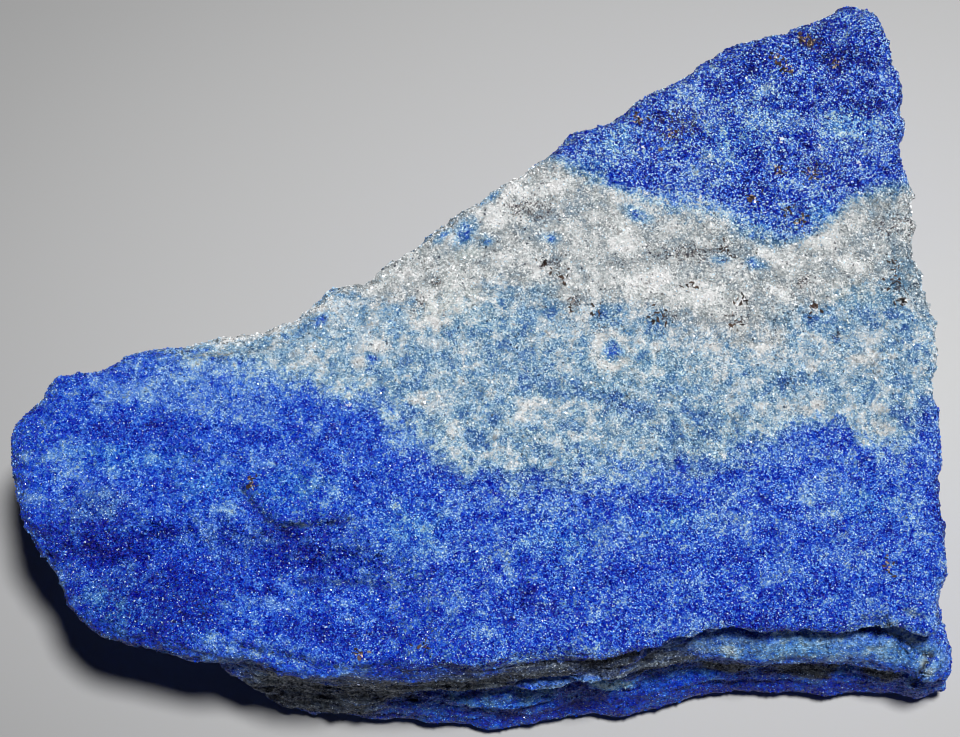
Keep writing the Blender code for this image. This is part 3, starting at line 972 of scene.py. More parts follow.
@dataclass(frozen=True)
class StoneFinish:
    """The grained, broken surface of the rock.

    Args:
        palette: its colours.
        beds_mix: the share of white mineral in the blue, pale and white beds.
        coarse: large grains in a mm.
        fine: small grains in a mm.
        contrast: how much the large and the small grains differ in paleness.
        rarity: how rare the pale grains are; 1 makes them as common as the deep ones.
        deepest: the most that a grain's power may be in the blue, pale and white beds, which keeps it from
            black.
        tip_contrast: how much more the grains differ in the bed at the back.
        tip_spots: how much stronger its clouds and spots are.
        roughness: how dull the grain faces are, from the shiniest to the dullest.
        specular: the strength of the sheen on a grain face.
        rise: height of a grain's tilted face, over a slope of about 1.
        brightest: the most light that a grain gives back.
    """

    palette: Palette = Palette()
    beds_mix: Triple = (0.235, 0.60, 0.83)
    coarse: float = 4.6
    fine: float = 9.5
    contrast: tuple[float, float] = (0.50, 1.65)
    rarity: float = 2.6
    deepest: Triple = (3.2, 1.9, 1.75)
    tip_contrast: float = 1.55
    tip_spots: float = 1.5
    roughness: tuple[float, float] = (0.15, 0.75)
    specular: float = 0.4
    rise: float = 1.5
    brightest: float = 0.97

    def build(self, name: str) -> bpy.types.Material:
        """Makes the material.

        Args:
            name: the material's name.

        Returns:
            The material.
        """
        made = bpy.data.materials.new(name)
        made.use_nodes = True
        tree = made.node_tree
        tree.nodes.clear()
        wires = Wiring(tree)
        seen = self.read(wires)
        inputs = {
            "Base Color": self.colour(wires, seen),
            "Roughness": wires.ramp(seen.small[1], 0.0, 1.0, *self.roughness[::-1]),
            "Specular IOR Level": self.specular,
        }
        if self.rise:
            inputs["Normal"] = self.relief(wires, seen.spot)
        shader = wires.node("ShaderNodeBsdfPrincipled", inputs)
        wires.node("ShaderNodeOutputMaterial", {"Surface": shader.outputs[0]})
        return made

    def stored(self, wires: Wiring, name: str) -> Socket:
        """Reads one of the numbers stored on the mesh."""
        return wires.node("ShaderNodeAttribute", attribute_name=name).outputs["Fac"]

    def grains(self, wires: Wiring, spot: Socket, scale: float) -> bpy.types.NodeOutputs:
        """Gives each grain of one size three random numbers from 0 to 1."""
        return wires.node("ShaderNodeSeparateColor", {0: wires.cells(spot, scale).outputs["Color"]}).outputs

    def read(self, wires: Wiring) -> Reading:
        """Gathers what the rest of the material works with.

        Args:
            wires: the material's tree.

        Returns:
            The sockets.
        """
        spot = wires.in_mm(wires.node("ShaderNodeTexCoord").outputs["Object"])
        drift = DRIFT.around_zero(wires, spot)
        fray = FRAY.around_zero(wires, spot)
        ragged = wires.math("MULTIPLY_ADD", drift, RAGGED[0], wires.math("MULTIPLY", fray, RAGGED[1]))
        beds = {
            name: wires.ramp(wires.math("ADD", self.stored(wires, name), ragged), *edge)
            for name, edge in BED_EDGES.items()
        }
        edge = wires.cells(wires.crumpled(spot, *CRUMPLE), SEAMS, "DISTANCE_TO_EDGE").outputs["Distance"]
        seamed = wires.ramp(SEAM_SPREAD.around_half(wires, spot), *SEAM_SHOWN)
        lump = wires.cells(wires.crumpled(spot, *CRUMPLE), LUMPS)
        number = wires.node("ShaderNodeSeparateColor", {0: lump.outputs["Color"]}).outputs[0]
        return Reading(
            spot=spot,
            **beds,
            fray=fray,
            clouds=CLOUDS.around_zero(wires, spot),
            mottle=MOTTLE.around_zero(wires, spot),
            crumbs=CRUMBS.around_zero(wires, spot),
            seam=wires.math("MULTIPLY", wires.ramp(edge, *SEAM_WIDTH, 1.0, 0.0), seamed),
            calm=self.stored(wires, "calm"),
            lump=wires.math("SUBTRACT", number, 0.5),
            crest=wires.math("SUBTRACT", CREST, lump.outputs["Distance"]),
            large=self.grains(wires, spot, self.coarse),
            small=self.grains(wires, spot, self.fine),
        )

    def by_bed(self, wires: Wiring, seen: Reading, numbers: Triple) -> Socket:
        """Picks a number by the bed that each place is in.

        Args:
            wires: the material's tree.
            seen: what the material reads.
            numbers: the number in the blue, the pale and the white bed; the bed at the back has the blue's.

        Returns:
            The number's socket.
        """
        blue, pale, white = numbers
        mixed = wires.blend(seen.calcite, wires.blend(seen.pale, blue, pale), white)
        return wires.blend(seen.tip, mixed, blue)

    def summed(self, wires: Wiring, seen: Reading, start: Value, strengths: Strengths) -> Socket:
        """Adds up noises.

        Args:
            wires: the material's tree.
            seen: what the material reads.
            start: what they are added to.
            strengths: the noises by name, each with its strength in the blue, the pale and the white bed.

        Returns:
            The sum.
        """
        total = start
        for name, numbers in strengths.items():
            strength = self.by_bed(wires, seen, numbers)
            total = wires.math("MULTIPLY_ADD", getattr(seen, name), strength, total)
        return total

    def whiteness(self, wires: Wiring, seen: Reading) -> Socket:
        """Works out how much white mineral is at each place, from 0 to 1.

        Args:
            wires: the material's tree.
            seen: what the material reads.

        Returns:
            The share's socket.
        """
        level = self.summed(wires, seen, self.by_bed(wires, seen, self.beds_mix), WHITENESS)
        uneven = wires.ramp(seen.fray, *PATCH_FRAY)
        return wires.math("MULTIPLY_ADD", self.stored(wires, "shift"), uneven, level)

    def paleness(self, wires: Wiring, seen: Reading) -> Socket:
        """Works out how much paler than its mix each grain is: above 0 paler, below 0 deeper.

        Args:
            wires: the material's tree.
            seen: what the material reads.

        Returns:
            The paleness, which the colour's power follows.
        """
        total = self.summed(wires, seen, self.stored(wires, "glow"), PALENESS)
        total = wires.math("MULTIPLY", total, wires.blend(seen.tip, 1.0, self.tip_spots))
        spread = wires.blend(seen.tip, 1.0, self.tip_contrast)
        spread = wires.math("MULTIPLY", spread, wires.math("SUBTRACT", 1.0, seen.calm))
        grain = 0.0
        for grains, contrast in zip((seen.large, seen.small), self.contrast):
            odd = wires.math("POWER", grains[0], self.rarity)
            odd = wires.math("SUBTRACT", odd, 1.0 / (self.rarity + 1.0))
            grain = wires.math("MULTIPLY_ADD", odd, contrast, grain)
        return wires.math("MULTIPLY_ADD", grain, spread, total)

    def colour(self, wires: Wiring, seen: Reading) -> Socket:
        """Colours each grain.

        Args:
            wires: the material's tree.
            seen: what the material reads.

        Returns:
            The colour's socket.
        """
        share = self.whiteness(wires, seen)
        ramp = wires.node("ShaderNodeValToRGB", {0: share})
        points = ramp.color_ramp.elements
        while len(points) < len(self.palette.stops):
            points.new(1.0)
        for point, (at, colour) in zip(points, self.palette.stops):
            point.position = at
            point.color = rgba(colour)
        azure = wires.math("MULTIPLY_ADD", SKY.around_half(wires, seen.spot), *SKY_CLOUDS)
        azure = wires.math("ADD", azure, self.stored(wires, "azure"))
        azure = wires.math("MULTIPLY", azure, wires.ramp(share, *SKY_FADE))
        azure = wires.node("ShaderNodeClamp", {0: azure}).outputs[0]
        hued = wires.tint(azure, ramp.outputs[0], rgba(self.palette.azure), "MULTIPLY")
        filmed = self.filmed(wires, seen, hued)
        power = wires.math("EXPONENT", wires.math("MULTIPLY", self.paleness(wires, seen), -1.0))
        limits = {"Min": PALEST, "Max": self.by_bed(wires, seen, self.deepest)}
        power = wires.node("ShaderNodeClamp", {0: power, **limits}).outputs[0]
        grained = wires.node("ShaderNodeGamma", {0: filmed, 1: power}).outputs[0]
        gained = wires.scaled(grained, (self.palette.gain,) * 3)
        full = wires.vector("MINIMUM", gained, (self.brightest,) * 3).outputs[0]
        return self.dirt_and_painted_light(wires, seen, full)

    def filmed(self, wires: Wiring, seen: Reading, under: Socket) -> Socket:
        """Lays the streaked mica film over the front.

        Args:
            wires: the material's tree.
            seen: what the material reads.
            under: the rock's own colour.

        Returns:
            The colour with the film.
        """
        streaks = FILM_STREAKS.around_zero(wires, seen.spot)
        edge = wires.math("MULTIPLY_ADD", streaks, FILM_TORN, self.stored(wires, "film"))
        share = wires.ramp(edge, *FILM_EDGE)
        leaves = FILM_LEAVES.around_half(wires, seen.spot)
        dark, light = self.palette.film
        film = wires.tint(wires.ramp(leaves, *FILM_TONES), rgba(dark), rgba(light))
        return wires.tint(share, under, film)

    def dirt_and_painted_light(self, wires: Wiring, seen: Reading, under: Socket) -> Socket:
        """Adds painted glints, rust, dark mineral and the painted shade of the cracks.

        Args:
            wires: the material's tree.
            seen: what the material reads.
            under: the colour so far.

        Returns:
            The finished colour.
        """
        # A rare grain takes the glint colour: a painted highlight
        rarer = wires.math("MULTIPLY_ADD", seen.calm, GLINT_CALM, seen.small[2])
        rarer = wires.math("MULTIPLY_ADD", seen.tip, GLINT_TIP, rarer)
        lit = wires.tint(wires.ramp(rarer, *GLINTS), under, rgba(self.palette.glint))
        grime = wires.ramp(GRIME.around_half(wires, seen.spot), *GRIME_RANGE)
        rust = wires.math("MULTIPLY", self.stored(wires, "rust"), grime)
        rust = wires.math("GREATER_THAN", rust, wires.math("MULTIPLY_ADD", seen.small[2], *RUST_CHANCE))
        rusty = wires.tint(wires.math("MULTIPLY", rust, RUST_STRENGTH), lit, rgba(self.palette.rust))
        soot = wires.math("MULTIPLY", self.stored(wires, "soot"), grime)
        soot = wires.math("MULTIPLY_ADD", soot, SOOT_STRENGTH, wires.blend(seen.tip, *SOOT_SHARE))
        large = wires.math("MULTIPLY", wires.math("GREATER_THAN", soot, seen.large[2]), SOOT_DARK[1])
        small = wires.math("GREATER_THAN", soot, seen.small[2])
        dark = wires.math("MULTIPLY_ADD", small, SOOT_DARK[0], large)
        # The cracks' painted shade darkens the colour towards soot
        torn = wires.ramp(wires.math("ADD", seen.crumbs, seen.mottle), *CRACK_TORN)
        dark = wires.math("MAXIMUM", dark, wires.math("MULTIPLY", self.stored(wires, "gap"), torn))
        return wires.tint(dark, rusty, rgba(self.palette.soot))

    def relief(self, wires: Wiring, spot: Socket) -> Socket:
        """Tilts each grain face its own way.

        Args:
            wires: the material's tree.
            spot: the place in mm.

        Returns:
            The direction's socket.
        """
        height = 0.0
        for scale in (self.coarse, self.fine):
            height = wires.math("MULTIPLY_ADD", wires.facets(spot, scale), self.rise, height)
        bump = wires.node("ShaderNodeBump", {"Strength": 1.0, "Distance": MM, "Height": height})
        return bump.outputs[0]


@dataclass(frozen=True)
class LooseFinish(StoneFinish):
    """The same rock on a loose grain, whose numbers are stored on the grain itself.

    Args:
        lift: how much paler the grains are than the ground under them.
    """

    lift: float = 0.0
    roughness: tuple[float, float] = (0.15, 0.60)
    specular: float = 0.35
    rise: float = 0.0

    def grains(self, wires: Wiring, spot: Socket, scale: float) -> bpy.types.NodeOutputs:
        """Reads each grain's own three numbers."""
        number = wires.node("ShaderNodeAttribute", attribute_name="shade").outputs["Vector"]
        return wires.node("ShaderNodeSeparateXYZ", {0: number}).outputs

    def paleness(self, wires: Wiring, seen: Reading) -> Socket:
        """Lifts the rock's own paleness."""
        return wires.math("ADD", super().paleness(wires, seen), self.lift)


@dataclass(frozen=True)
class GrainFinish:
    """One mineral's own colour, which differs from grain to grain.

    Args:
        dark: the colour of the darkest grains.
        light: the colour of the lightest ones.
        metallic: how metallic they are.
        roughness: how dull their faces are.
    """

    dark: Colour
    light: Colour
    metallic: float = 0.0
    roughness: float = 0.3

    def build(self, name: str) -> bpy.types.Material:
        """Makes the material.

        Args:
            name: the material's name.

        Returns:
            The material.
        """
        made = bpy.data.materials.new(name)
        made.use_nodes = True
        shader = made.node_tree.nodes["Principled BSDF"]
        wires = Wiring(made.node_tree)
        shader.inputs["Metallic"].default_value = self.metallic
        shader.inputs["Roughness"].default_value = self.roughness
        number = wires.node("ShaderNodeAttribute", attribute_name="shade").outputs["Vector"]
        share = wires.node("ShaderNodeSeparateXYZ", {0: number}).outputs[0]
        wires.feed(shader.inputs["Base Color"], wires.tint(share, rgba(self.dark), rgba(self.light)))
        return made


# The stone

# The relief's noises: broad lumps, and the leaves of the broken sides
BROAD_LUMPS = Cloud(0.42, 4.0, 0.55)
SIDE_LEAVES = Cloud(1.0, stretch=(0.16, 0.5, 1.25))
# A crumb stands up this near its middle; the small flat faces, as how many in a mm and how steep
CRUMB_CREST = 0.45
FLAT_FACES = ((1.5, 0.32), (0.5, 0.22))
# As ramps: a face that looks up or down this far is no side, and the relief is lower near the foot, in mm
SIDE_FACING = (0.45, 0.85, 1.0, 0.0)
LEAF_GAIN = 2.0
FOOTING = (1.0, 6.0, 0.45, 1.0)
# A bed's own relief comes in over this distance inside its outline, in mm
BED_SKIN = (-0.8, 0.8)
# Corners nearer than this, in metres, are merged, and each smoothing pass goes this far towards even
MERGE = 1e-6
SMOOTH_STEP = 0.5


@dataclass
class StoneBody:
    """The whole stone, with its broken, crumbled and layered skin.

    Args:
        voxel: the size of the fine mesh's squares, in mm.
        smoothing: passes that take the plain model's facets away.
        lump: height of the broad lumps in the blue and in the crumbly white rock, in mm.
        crumb: height of the crumbs in the blue and in the white rock, in mm.
        leaf: height of the thin leaves that show on the broken sides, in mm.
        triangles: the most that the finished mesh may have.
        beds: the beds of colour.
        finish: the surface's look.
    """

    voxel: float = 0.25
    smoothing: int = 14
    lump: tuple[float, float] = (0.30, 0.60)
    crumb: tuple[float, float] = (0.12, 0.44)
    leaf: float = 0.55
    triangles: int = 194_000
    beds: Beds = Beds()
    finish: StoneFinish = StoneFinish()
    piece: bpy.types.Object | None = field(default=None, init=False)

    def build(self) -> bpy.types.Object:
        """Makes the stone and fixes it to its body.

        Returns:
            The finished piece.
        """
        self.piece = add_object("lapis_stone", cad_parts[STONE_NODE].data.copy())
        self.refine()
        self.roughen()
        self.crack()
        self.thin()
        self.beds.mark(self.piece.data)
        stain(self.piece.data, self.beds)
        self.dress()
        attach(self.piece, BODY)
        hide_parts(STONE_NODE)
        return self.piece

    def refine(self) -> None:
        """Gives the plain model a fine, even mesh with no facets."""
        mesh = self.piece.data
        shape = bmesh.new()
        shape.from_mesh(mesh)
        bmesh.ops.remove_doubles(shape, verts=shape.verts, dist=MERGE)
        shape.to_mesh(mesh)
        shape.free()
        remesh = self.piece.modifiers.new("even", "REMESH")
        remesh.mode = "VOXEL"
        remesh.voxel_size = self.voxel * MM
        smooth = self.piece.modifiers.new("soften", "SMOOTH")
        smooth.factor = SMOOTH_STEP
        smooth.iterations = self.smoothing
        settle(self.piece)
        self.beds.mark(self.piece.data)

    def roughen(self) -> None:
        """Raises lumps, crumbs and leaves with Geometry Nodes."""
        sizes = {
            "Lump in blue": self.lump[0],
            "Lump in white": self.lump[1],
            "Crumb in blue": self.crumb[0],
            "Crumb in white": self.crumb[1],
            "Leaf": self.leaf,
        }
        grow(self.piece, "broken_rock", sizes, self.raise_skin)

    def raise_skin(self, wires: Wiring) -> None:
        """Moves each corner out by the relief's height.

        Args:
            wires: the Geometry Nodes tree.
        """
        given = wires.node("NodeGroupInput").outputs
        facing = wires.node("GeometryNodeInputNormal").outputs[0]
        offset = wires.node("ShaderNodeVectorMath", {0: facing}, operation="SCALE")
        wires.feed(offset.inputs["Scale"], wires.math("MULTIPLY", self.height(wires, given), MM))
        inputs = {"Geometry": given["Geometry"], "Offset": offset.outputs[0]}
        moved = wires.node("GeometryNodeSetPosition", inputs)
        wires.node("NodeGroupOutput", {0: moved.outputs[0]})

    def height(self, wires: Wiring, given: bpy.types.NodeOutputs) -> Socket:
        """Adds up the relief over the plain shape.

        Args:
            wires: the Geometry Nodes tree.
            given: the tree's inputs.

        Returns:
            The height in mm.
        """
        spot = wires.in_mm(wires.node("GeometryNodeInputPosition").outputs[0])
        white = wires.math("MAXIMUM", self.bed(wires, "calcite"), self.bed(wires, "pale"))
        facing = wires.node("GeometryNodeInputNormal").outputs[0]
        upward = wires.vector("DOT_PRODUCT", facing, (0.0, 0.0, 1.0)).outputs["Value"]
        side = wires.ramp(wires.math("ABSOLUTE", upward), *SIDE_FACING)

        def sized(value: Socket, name: str) -> Socket:
            """Gives a relief its height in the blue and in the white rock."""
            tall = wires.blend(white, given[f"{name} in blue"], given[f"{name} in white"])
            return wires.math("MULTIPLY", value, tall)

        lump = sized(BROAD_LUMPS.around_zero(wires, spot), "Lump")
        middle = wires.cells(wires.crumpled(spot, *CRUMPLE), LUMPS).outputs["Distance"]
        total = wires.math("ADD", lump, sized(wires.math("SUBTRACT", CRUMB_CREST, middle), "Crumb"))
        for scale, steep in FLAT_FACES:
            total = wires.math("ADD", total, wires.math("MULTIPLY", wires.facets(spot, scale), steep))
        leaves = wires.math("MULTIPLY", SIDE_LEAVES.around_zero(wires, spot), given["Leaf"])
        leaves = wires.math("MULTIPLY", leaves, wires.math("MULTIPLY", side, LEAF_GAIN))
        footing = wires.ramp(wires.node("ShaderNodeSeparateXYZ", {0: spot}).outputs["Z"], *FOOTING)
        return wires.math("MULTIPLY", wires.math("ADD", total, leaves), footing)

    def bed(self, wires: Wiring, name: str) -> Socket:
        """Reads how far inside a bed a corner is, from 0 to 1."""
        read = wires.node("GeometryNodeInputNamedAttribute", {"Name": name}, data_type="FLOAT")
        return wires.ramp(read.outputs["Attribute"], *BED_SKIN)

    def crack(self) -> None:
        """Pushes parts of the stone into place, opens the cracks and sets the front's foot in or out."""
        mesh = self.piece.data
        spots = spots_of(mesh)
        facing = facing_of(mesh)
        spots += sum(nudge.shift(spots) for nudge in NUDGES.values())
        for crack in CRACKS.values():
            spots[:, 2] -= crack.cut(spots, facing)
        places, moves = np.array(FOOT).T
        low = 1.0 - ease(spots[:, 2], *FOOT_HEIGHT)
        forward = ease(-facing[:, 1], *FOOT_FACING)
        spots[:, 1] += np.interp(spots[:, 0], places, moves) * low * forward
        spots[:, 2] = np.maximum(spots[:, 2], 0.0)
        mesh.vertices.foreach_set("co", (spots * MM).astype(np.float32).ravel())
        mesh.update()

    def thin(self) -> None:
        """Takes out triangles, most where the surface is plain, down to the piece's limit."""
        mesh = self.piece.data
        mesh.calc_loop_triangles()
        count = len(mesh.loop_triangles)
        if count > self.triangles:
            thinning = self.piece.modifiers.new("thin", "DECIMATE")
            thinning.ratio = self.triangles / count
            settle(self.piece)

    def dress(self) -> None:
        """Gives the stone its finish and smooth shading."""
        mesh = self.piece.data
        mesh.materials.clear()
        mesh.materials.append(self.finish.build("lapis_rock"))
        mesh.polygons.foreach_set("use_smooth", np.ones(len(mesh.polygons), bool))
        mesh.update()


# The grains on the stone

class Form(Enum):
    """What a grain's solid is."""

    BLOCK = "GeometryNodeMeshCube"
    CRYSTAL = "GeometryNodeMeshUVSphere"
    FLAKE = "GeometryNodeMeshCylinder"


# Each form's sides, at a half-size of 1, and a flake's thickness
FORM_SIZES = {
    Form.BLOCK: {"Size": (1.6, 1.6, 1.6)},
    Form.CRYSTAL: {"Segments": 4, "Rings": 2, "Radius": 1.0},
    Form.FLAKE: {"Vertices": 6, "Radius": 1.0, "Depth": 0.3},
}


# How far inside a bed its own grains come in, in mm, and how far up a face has to look to carry grains
RICH_EDGE = (-1.0, 1.0)
GRAIN_FACING = (-0.6, 0.2)


@dataclass(frozen=True)
class Richness:
    """How many of a kind of grain each bed has, from 0 to 1."""

    blue: float = 0.0
    pale: float = 0.0
    calcite: float = 0.0
    tip: float = 0.0

    def weigh(self, mesh: bpy.types.Mesh) -> np.ndarray:
        """Works out the richness at each corner of the stone.

        Args:
            mesh: the stone's mesh, with its beds marked.

        Returns:
            One number for each corner. It is 0 on the underside, which rests on the floor.
        """
        share = {}
        for name in BED_NAMES:
            values = np.empty(len(mesh.vertices), np.float32)
            mesh.attributes[name].data.foreach_get("value", values)
            share[name] = ease(values.astype(np.float64), *RICH_EDGE)
        rich = self.blue + (self.pale - self.blue) * share["pale"]
        rich += (self.calcite - rich) * share["calcite"]
        rich += (self.tip - rich) * share["tip"]
        return rich * ease(facing_of(mesh)[:, 2], *GRAIN_FACING)


@dataclass
class Grains:
    """Small grains that sit half sunk in the stone's skin, all in one mesh.

    Args:
        name: the piece's name.
        form: the solid that each grain is.
        size: the smallest and the largest half-size, in mm.
        finish: the grains' look.
        seed: what makes their places random, the same each time.
    """

    name: str
    form: Form
    size: tuple[float, float]
    finish: StoneFinish | GrainFinish
    seed: int

    def build(self, stone: bpy.types.Object) -> bpy.types.Object:
        """Makes the piece.

        Args:
            stone: the finished stone.

        Returns:
            The piece, which rides on the stone's body.
        """
        piece = add_object(self.name, self.ground(stone))
        sizes = {"Smallest": self.size[0] * MM, "Largest": self.size[1] * MM, **self.amounts()}
        grow(piece, self.name, sizes, self.scatter)
        piece.data.polygons.foreach_set("use_smooth", np.zeros(len(piece.data.polygons), bool))
        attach(piece, BODY)
        return piece

    def amounts(self) -> dict[str, float]:
        """Names the tree's further inputs."""
        return {}

    def scatter(self, wires: Wiring) -> None:
        """Sets a grain on each point, turned and sized at random.

        Args:
            wires: the piece's tree.
        """
        given = wires.node("NodeGroupInput").outputs
        solid = wires.node(self.form.value, FORM_SIZES[self.form]).outputs["Mesh"]
        turns = {"Max": (math.tau,) * 3, "Seed": self.seed}
        turn = wires.node("FunctionNodeRandomValue", turns, data_type="FLOAT_VECTOR").outputs[0]
        low = wires.node("ShaderNodeCombineXYZ", {name: given["Smallest"] for name in "XYZ"}).outputs[0]
        high = wires.node("ShaderNodeCombineXYZ", {name: given["Largest"] for name in "XYZ"}).outputs[0]
        sizes = {"Min": low, "Max": high, "Seed": self.seed + 1}
        size = wires.node("FunctionNodeRandomValue", sizes, data_type="FLOAT_VECTOR").outputs[0]
        inputs = {"Points": self.points(wires, given), "Instance": solid, "Rotation": turn, "Scale": size}
        grains = wires.node("GeometryNodeInstanceOnPoints", inputs).outputs[0]
        shade = wires.node("FunctionNodeRandomValue", {"Seed": self.seed + 2}, data_type="FLOAT_VECTOR")
        inputs = {"Geometry": grains, "Name": "shade", "Value": shade.outputs[0]}
        kinds = {"data_type": "FLOAT_VECTOR", "domain": "INSTANCE"}
        shaded = wires.node("GeometryNodeStoreNamedAttribute", inputs, **kinds).outputs[0]
        real = wires.node("GeometryNodeRealizeInstances", {"Geometry": shaded}).outputs[0]
        look = self.finish.build(self.name)
        dressed = wires.node("GeometryNodeSetMaterial", {"Geometry": real, "Material": look}).outputs[0]
        wires.node("NodeGroupOutput", {0: dressed})

    def ground(self, stone: bpy.types.Object) -> bpy.types.Mesh:
        """Makes the mesh that the grains are scattered on."""
        raise NotImplementedError

    def points(self, wires: Wiring, given: bpy.types.NodeOutputs) -> Socket:
        """Finds the grains' points in that mesh."""
        raise NotImplementedError


@dataclass
class BedGrains(Grains):
    """Grains all over the stone, more of them in some beds.

    Args:
        richness: how many there are in each bed.
        count: how many there are in all.
    """

    richness: Richness
    count: int
    density: float = field(default=0.0, init=False)

    def ground(self, stone: bpy.types.Object) -> bpy.types.Mesh:
        """Copies the stone's mesh with the richness on it, and works out the density."""
        mesh = stone.data.copy()
        rich = self.richness.weigh(mesh)
        store(mesh, "rich", rich)
        mesh.calc_loop_triangles()
        corners = np.empty(len(mesh.loop_triangles) * 3, np.int32)
        mesh.loop_triangles.foreach_get("vertices", corners)
        areas = np.empty(len(mesh.loop_triangles), np.float32)
        mesh.loop_triangles.foreach_get("area", areas)
        self.density = self.count / float((rich[corners.reshape(-1, 3)].mean(axis=1) * areas).sum())
        return mesh

    def amounts(self) -> dict[str, float]:
        """Names the density, in grains to the square metre where the bed is richest."""
        return {"Density": self.density}

    def points(self, wires: Wiring, given: bpy.types.NodeOutputs) -> Socket:
        """Scatters points over the stone."""
        rich = wires.node("GeometryNodeInputNamedAttribute", {"Name": "rich"}, data_type="FLOAT")
        density = wires.math("MULTIPLY", rich.outputs["Attribute"], given["Density"])
        inputs = {"Mesh": given["Geometry"], "Density": density, "Seed": self.seed}
        return wires.node("GeometryNodeDistributePointsOnFaces", inputs).outputs["Points"]


@dataclass
class SpotGrains(Grains):
    """Clusters of grains at places of their own on the top.

    Args:
        spots: the clusters' middles, seen from above, in mm.
        each: how many grains a cluster has.
        reach: how far they lie from its middle, in mm.
    """

    spots: tuple[tuple[float, float], ...]
    each: int
    reach: float

    def ground(self, stone: bpy.types.Object) -> bpy.types.Mesh:
        """Puts points on the stone's top, a few at each spot."""
        rng = np.random.default_rng(self.seed)
        middles = np.repeat(np.array(self.spots), self.each, axis=0)
        places = middles + rng.normal(0.0, self.reach, middles.shape)
        shape = bmesh.new()
        shape.from_mesh(stone.data)
        tree = BVHTree.FromBMesh(shape)
        shape.free()
        above = 2.0 * TOP_HEIGHT
        down = Vector((0.0, 0.0, -1.0))
        found = [tree.ray_cast(Vector((x, y, above)) * MM, down)[0] for x, y in places]
        mesh = bpy.data.meshes.new(self.name)
        mesh.from_pydata([hit for hit in found if hit is not None], [], [])
        return mesh

    def points(self, wires: Wiring, given: bpy.types.NodeOutputs) -> Socket:
        """Takes the mesh's own points."""
        return given["Geometry"]


PYRITE_SPOTS = (
    (12.6, 18.7), (15.2, 17.2), (24.8, 23.1), (24.1, 24.1), (26.3, 25.8), (26.9, 25.5), (28.8, 23.9),
    (24.1, 14.3), (26.6, 14.0), (21.7, 12.0), (25.8, 9.9), (-18.4, -12.6), (-9.8, -25.8), (31.7, -18.9),
)
DARK_SPOTS = (
    (7.1, 2.4), (9.1, 1.9), (14.4, 1.3), (13.7, 1.5), (20.2, 1.1), (20.6, 3.1), (19.5, 7.3), (26.6, 2.7),
    (33.7, 3.3), (33.0, 5.2), (33.1, 6.7), (4.9, 6.1), (6.1, 5.0), (16.6, 3.9), (-4.9, -25.7), (24.6, 11.0),
)
# Cleavage flakes sit where grain faces glint
CLEAVAGE_SPOTS = (
    (-10.8, -6.0), (12.7, 16.0), (30.6, 15.1), (24.1, 17.1), (27.4, 16.4), (17.5, 11.6), (13.0, 12.0),
    (23.4, 4.0), (23.9, 3.6), (24.4, 3.3), (25.0, 2.9), (22.6, 4.4),
)


PYRITE = GrainFinish(dark=(0.20, 0.10, 0.05), light=(0.97, 0.80, 0.58), metallic=0.2)
MICA = GrainFinish(dark=(0.006, 0.004, 0.006), light=(0.120, 0.075, 0.055))
# CLEAVAGE's near-white is partly calcite and partly a painted highlight
CLEAVAGE = GrainFinish(dark=(0.80, 0.86, 0.92), light=(0.95, 0.95, 0.95))


def grain_pieces() -> list[Grains]:
    """Lists the kinds of grain on the stone."""
    return [
        BedGrains(
            name="calcite_grains", form=Form.BLOCK, size=(0.04, 0.12), finish=LooseFinish(lift=0.05), seed=11,
            richness=Richness(blue=0.03, pale=0.55, calcite=1.0, tip=0.05), count=11_000,
        ),
        BedGrains(
            name="lazurite_grains", form=Form.CRYSTAL, size=(0.05, 0.13), finish=LooseFinish(lift=-0.10),
            seed=21, richness=Richness(blue=0.8, pale=0.25, calcite=0.1, tip=1.0), count=23_500,
        ),
        # These specks are partly calcite and partly painted glints: their lift makes them almost white
        BedGrains(
            name="calcite_specks_and_glints", form=Form.CRYSTAL, size=(0.03, 0.08), finish=LooseFinish(lift=0.85),
            seed=31, richness=Richness(blue=0.6, pale=0.8, calcite=0.9, tip=1.0), count=23_500,
        ),
        SpotGrains(
            name="pyrite_grains", form=Form.BLOCK, size=(0.05, 0.12), finish=PYRITE, seed=41,
            spots=PYRITE_SPOTS, each=7, reach=0.24,
        ),
        SpotGrains(
            name="dark_grains", form=Form.FLAKE, size=(0.10, 0.28), finish=MICA, seed=51,
            spots=DARK_SPOTS + PYRITE_SPOTS, each=9, reach=0.34,
        ),
        SpotGrains(
            name="cleavage_glints", form=Form.FLAKE, size=(0.08, 0.24), finish=CLEAVAGE, seed=61,
            spots=CLEAVAGE_SPOTS, each=4, reach=0.16,
        ),
    ]


# The studio

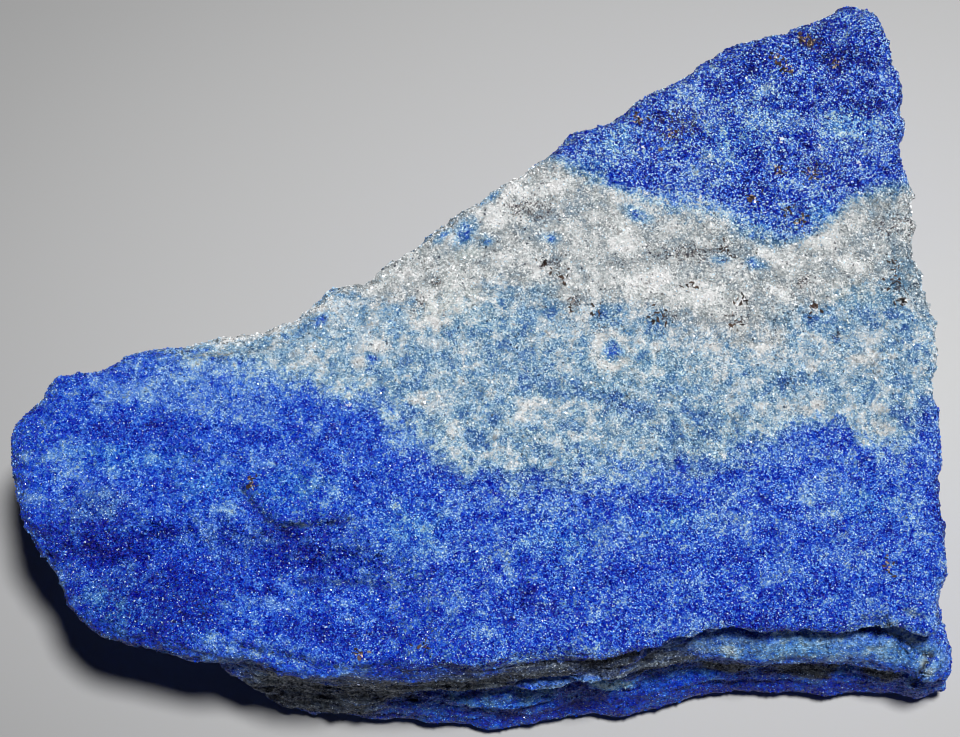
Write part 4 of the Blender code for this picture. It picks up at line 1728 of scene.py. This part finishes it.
@dataclass
class Studio:
    """The pale floor, the soft light and the camera.

    Args:
        target: what the camera looks at, in mm.
        distance: how far away it is, in mm.
        elevation: how far above level it looks down from, in degrees.
        photo_width: the picture's width in pixels.
        focal_pixels: the lens's focal length in pixels.
        sensor: the camera's sensor width, in mm.
        key_from: direction that the main light comes from.
        key_strength: its strength.
        key_angle: how wide it looks from the stone, in degrees, which softens its shadow.
        fill: the light from all round.
        floor_half: half the floor's width, in mm.
        floor_centre: the middle of the pool of light painted on the floor, where it is brightest, in mm.
        floor_reach: how far right and back from there it is at its darkest, in mm.
        floor_paint: its brightest and its darkest grey, which paint the pool of light.
        floor_soft: how softly the grey reaches its darkest.
        floor_rough: how dull the floor is.
    """

    target: Triple = (-0.318, -2.667, 16.0)
    distance: float = 330.0
    elevation: float = 74.0
    photo_width: float = 960.0
    focal_pixels: float = 4125.0
    sensor: float = 36.0
    key_from: Triple = (0.14, 0.035, 0.99)
    key_strength: float = 3.5
    key_angle: float = 9.0
    fill: float = 0.008
    floor_half: float = 900.0
    floor_centre: tuple[float, float] = (43.0, -0.8)
    floor_reach: tuple[float, float] = (105.0, 62.0)
    floor_paint: tuple[float, float] = (0.56, 0.285)
    floor_soft: float = 0.35
    floor_rough: float = 0.9

    def build(self) -> None:
        """Makes the floor, the light and the camera."""
        self.floor()
        self.lights()
        self.camera()

    def floor(self) -> None:
        """Lays the floor just under the stone."""
        half = self.floor_half * MM
        mesh = bpy.data.meshes.new("floor")
        corners = [(-half, -half, 0.0), (half, -half, 0.0), (half, half, 0.0), (-half, half, 0.0)]
        mesh.from_pydata(corners, [], [(0, 1, 2, 3)])
        mesh.materials.append(self.paint())
        add_object("floor", mesh)

    def paint(self) -> bpy.types.Material:
        """Makes the floor's grey, a painted pool of light that darkens away from its brightest place."""
        made = bpy.data.materials.new("pale_floor")
        made.use_nodes = True
        shader = made.node_tree.nodes["Principled BSDF"]
        shader.inputs["Roughness"].default_value = self.floor_rough
        wires = Wiring(made.node_tree)
        spot = wires.in_mm(wires.node("ShaderNodeTexCoord").outputs["Object"])
        # The grey paints a pool of light on the floor, darker away from its middle
        off = wires.vector("SUBTRACT", spot, (*self.floor_centre, 0.0)).outputs[0]
        off = wires.scaled(off, (1.0 / self.floor_reach[0], 1.0 / self.floor_reach[1], 0.0))
        fall = wires.vector("DOT_PRODUCT", off, off).outputs["Value"]
        fall = wires.math("SMOOTH_MIN", fall, 1.0, self.floor_soft)
        inputs = {"Value": fall, "To Min": self.floor_paint[0], "To Max": self.floor_paint[1]}
        grey = wires.node("ShaderNodeMapRange", inputs).outputs["Result"]
        wires.feed(shader.inputs["Base Color"], grey)
        return made

    def lights(self) -> None:
        """Hangs the main light and sets the light from all round."""
        key = bpy.data.lights.new("key", "SUN")
        key.energy = self.key_strength
        key.angle = math.radians(self.key_angle)
        lamp = bpy.data.objects.new("key", key)
        lamp.rotation_euler = Vector(self.key_from).to_track_quat("Z", "Y").to_euler()
        bpy.context.scene.collection.objects.link(lamp)
        world = bpy.data.worlds.new("studio")
        world.use_nodes = True
        back = world.node_tree.nodes["Background"]
        back.inputs["Color"].default_value = (1.0, 1.0, 1.0, 1.0)
        back.inputs["Strength"].default_value = self.fill
        bpy.context.scene.world = world

    def camera(self) -> None:
        """Sets the camera at the photograph's angle."""
        tilt = math.radians(self.elevation)
        away = Vector((0.0, -math.cos(tilt), math.sin(tilt)))
        lens = bpy.data.cameras.new("camera")
        lens.sensor_width = self.sensor
        lens.lens = self.focal_pixels / self.photo_width * self.sensor
        lens.clip_start = 0.01
        eye = bpy.data.objects.new("camera", lens)
        eye.location = (Vector(self.target) + away * self.distance) * MM
        eye.rotation_euler = away.to_track_quat("Z", "Y").to_euler()
        scene = bpy.context.scene
        scene.collection.objects.link(eye)
        scene.camera = eye
        scene.view_settings.view_transform = "Standard"
        scene.cycles.max_bounces = 4
        scene.cycles.diffuse_bounces = 3
        scene.cycles.filter_width = 1.0


def main() -> None:
    """Builds the studio, the stone and its grains, in order, and reports each piece."""
    logging.basicConfig(level=logging.INFO, format="%(message)s")
    Studio().build()
    stone = StoneBody().build()
    LOG.info("%s: %d faces", stone.name, len(stone.data.polygons))
    for grains in grain_pieces():
        piece = grains.build(stone)
        LOG.info("%s: %d faces", piece.name, len(piece.data.polygons))


if __name__ == "__main__":
    main()
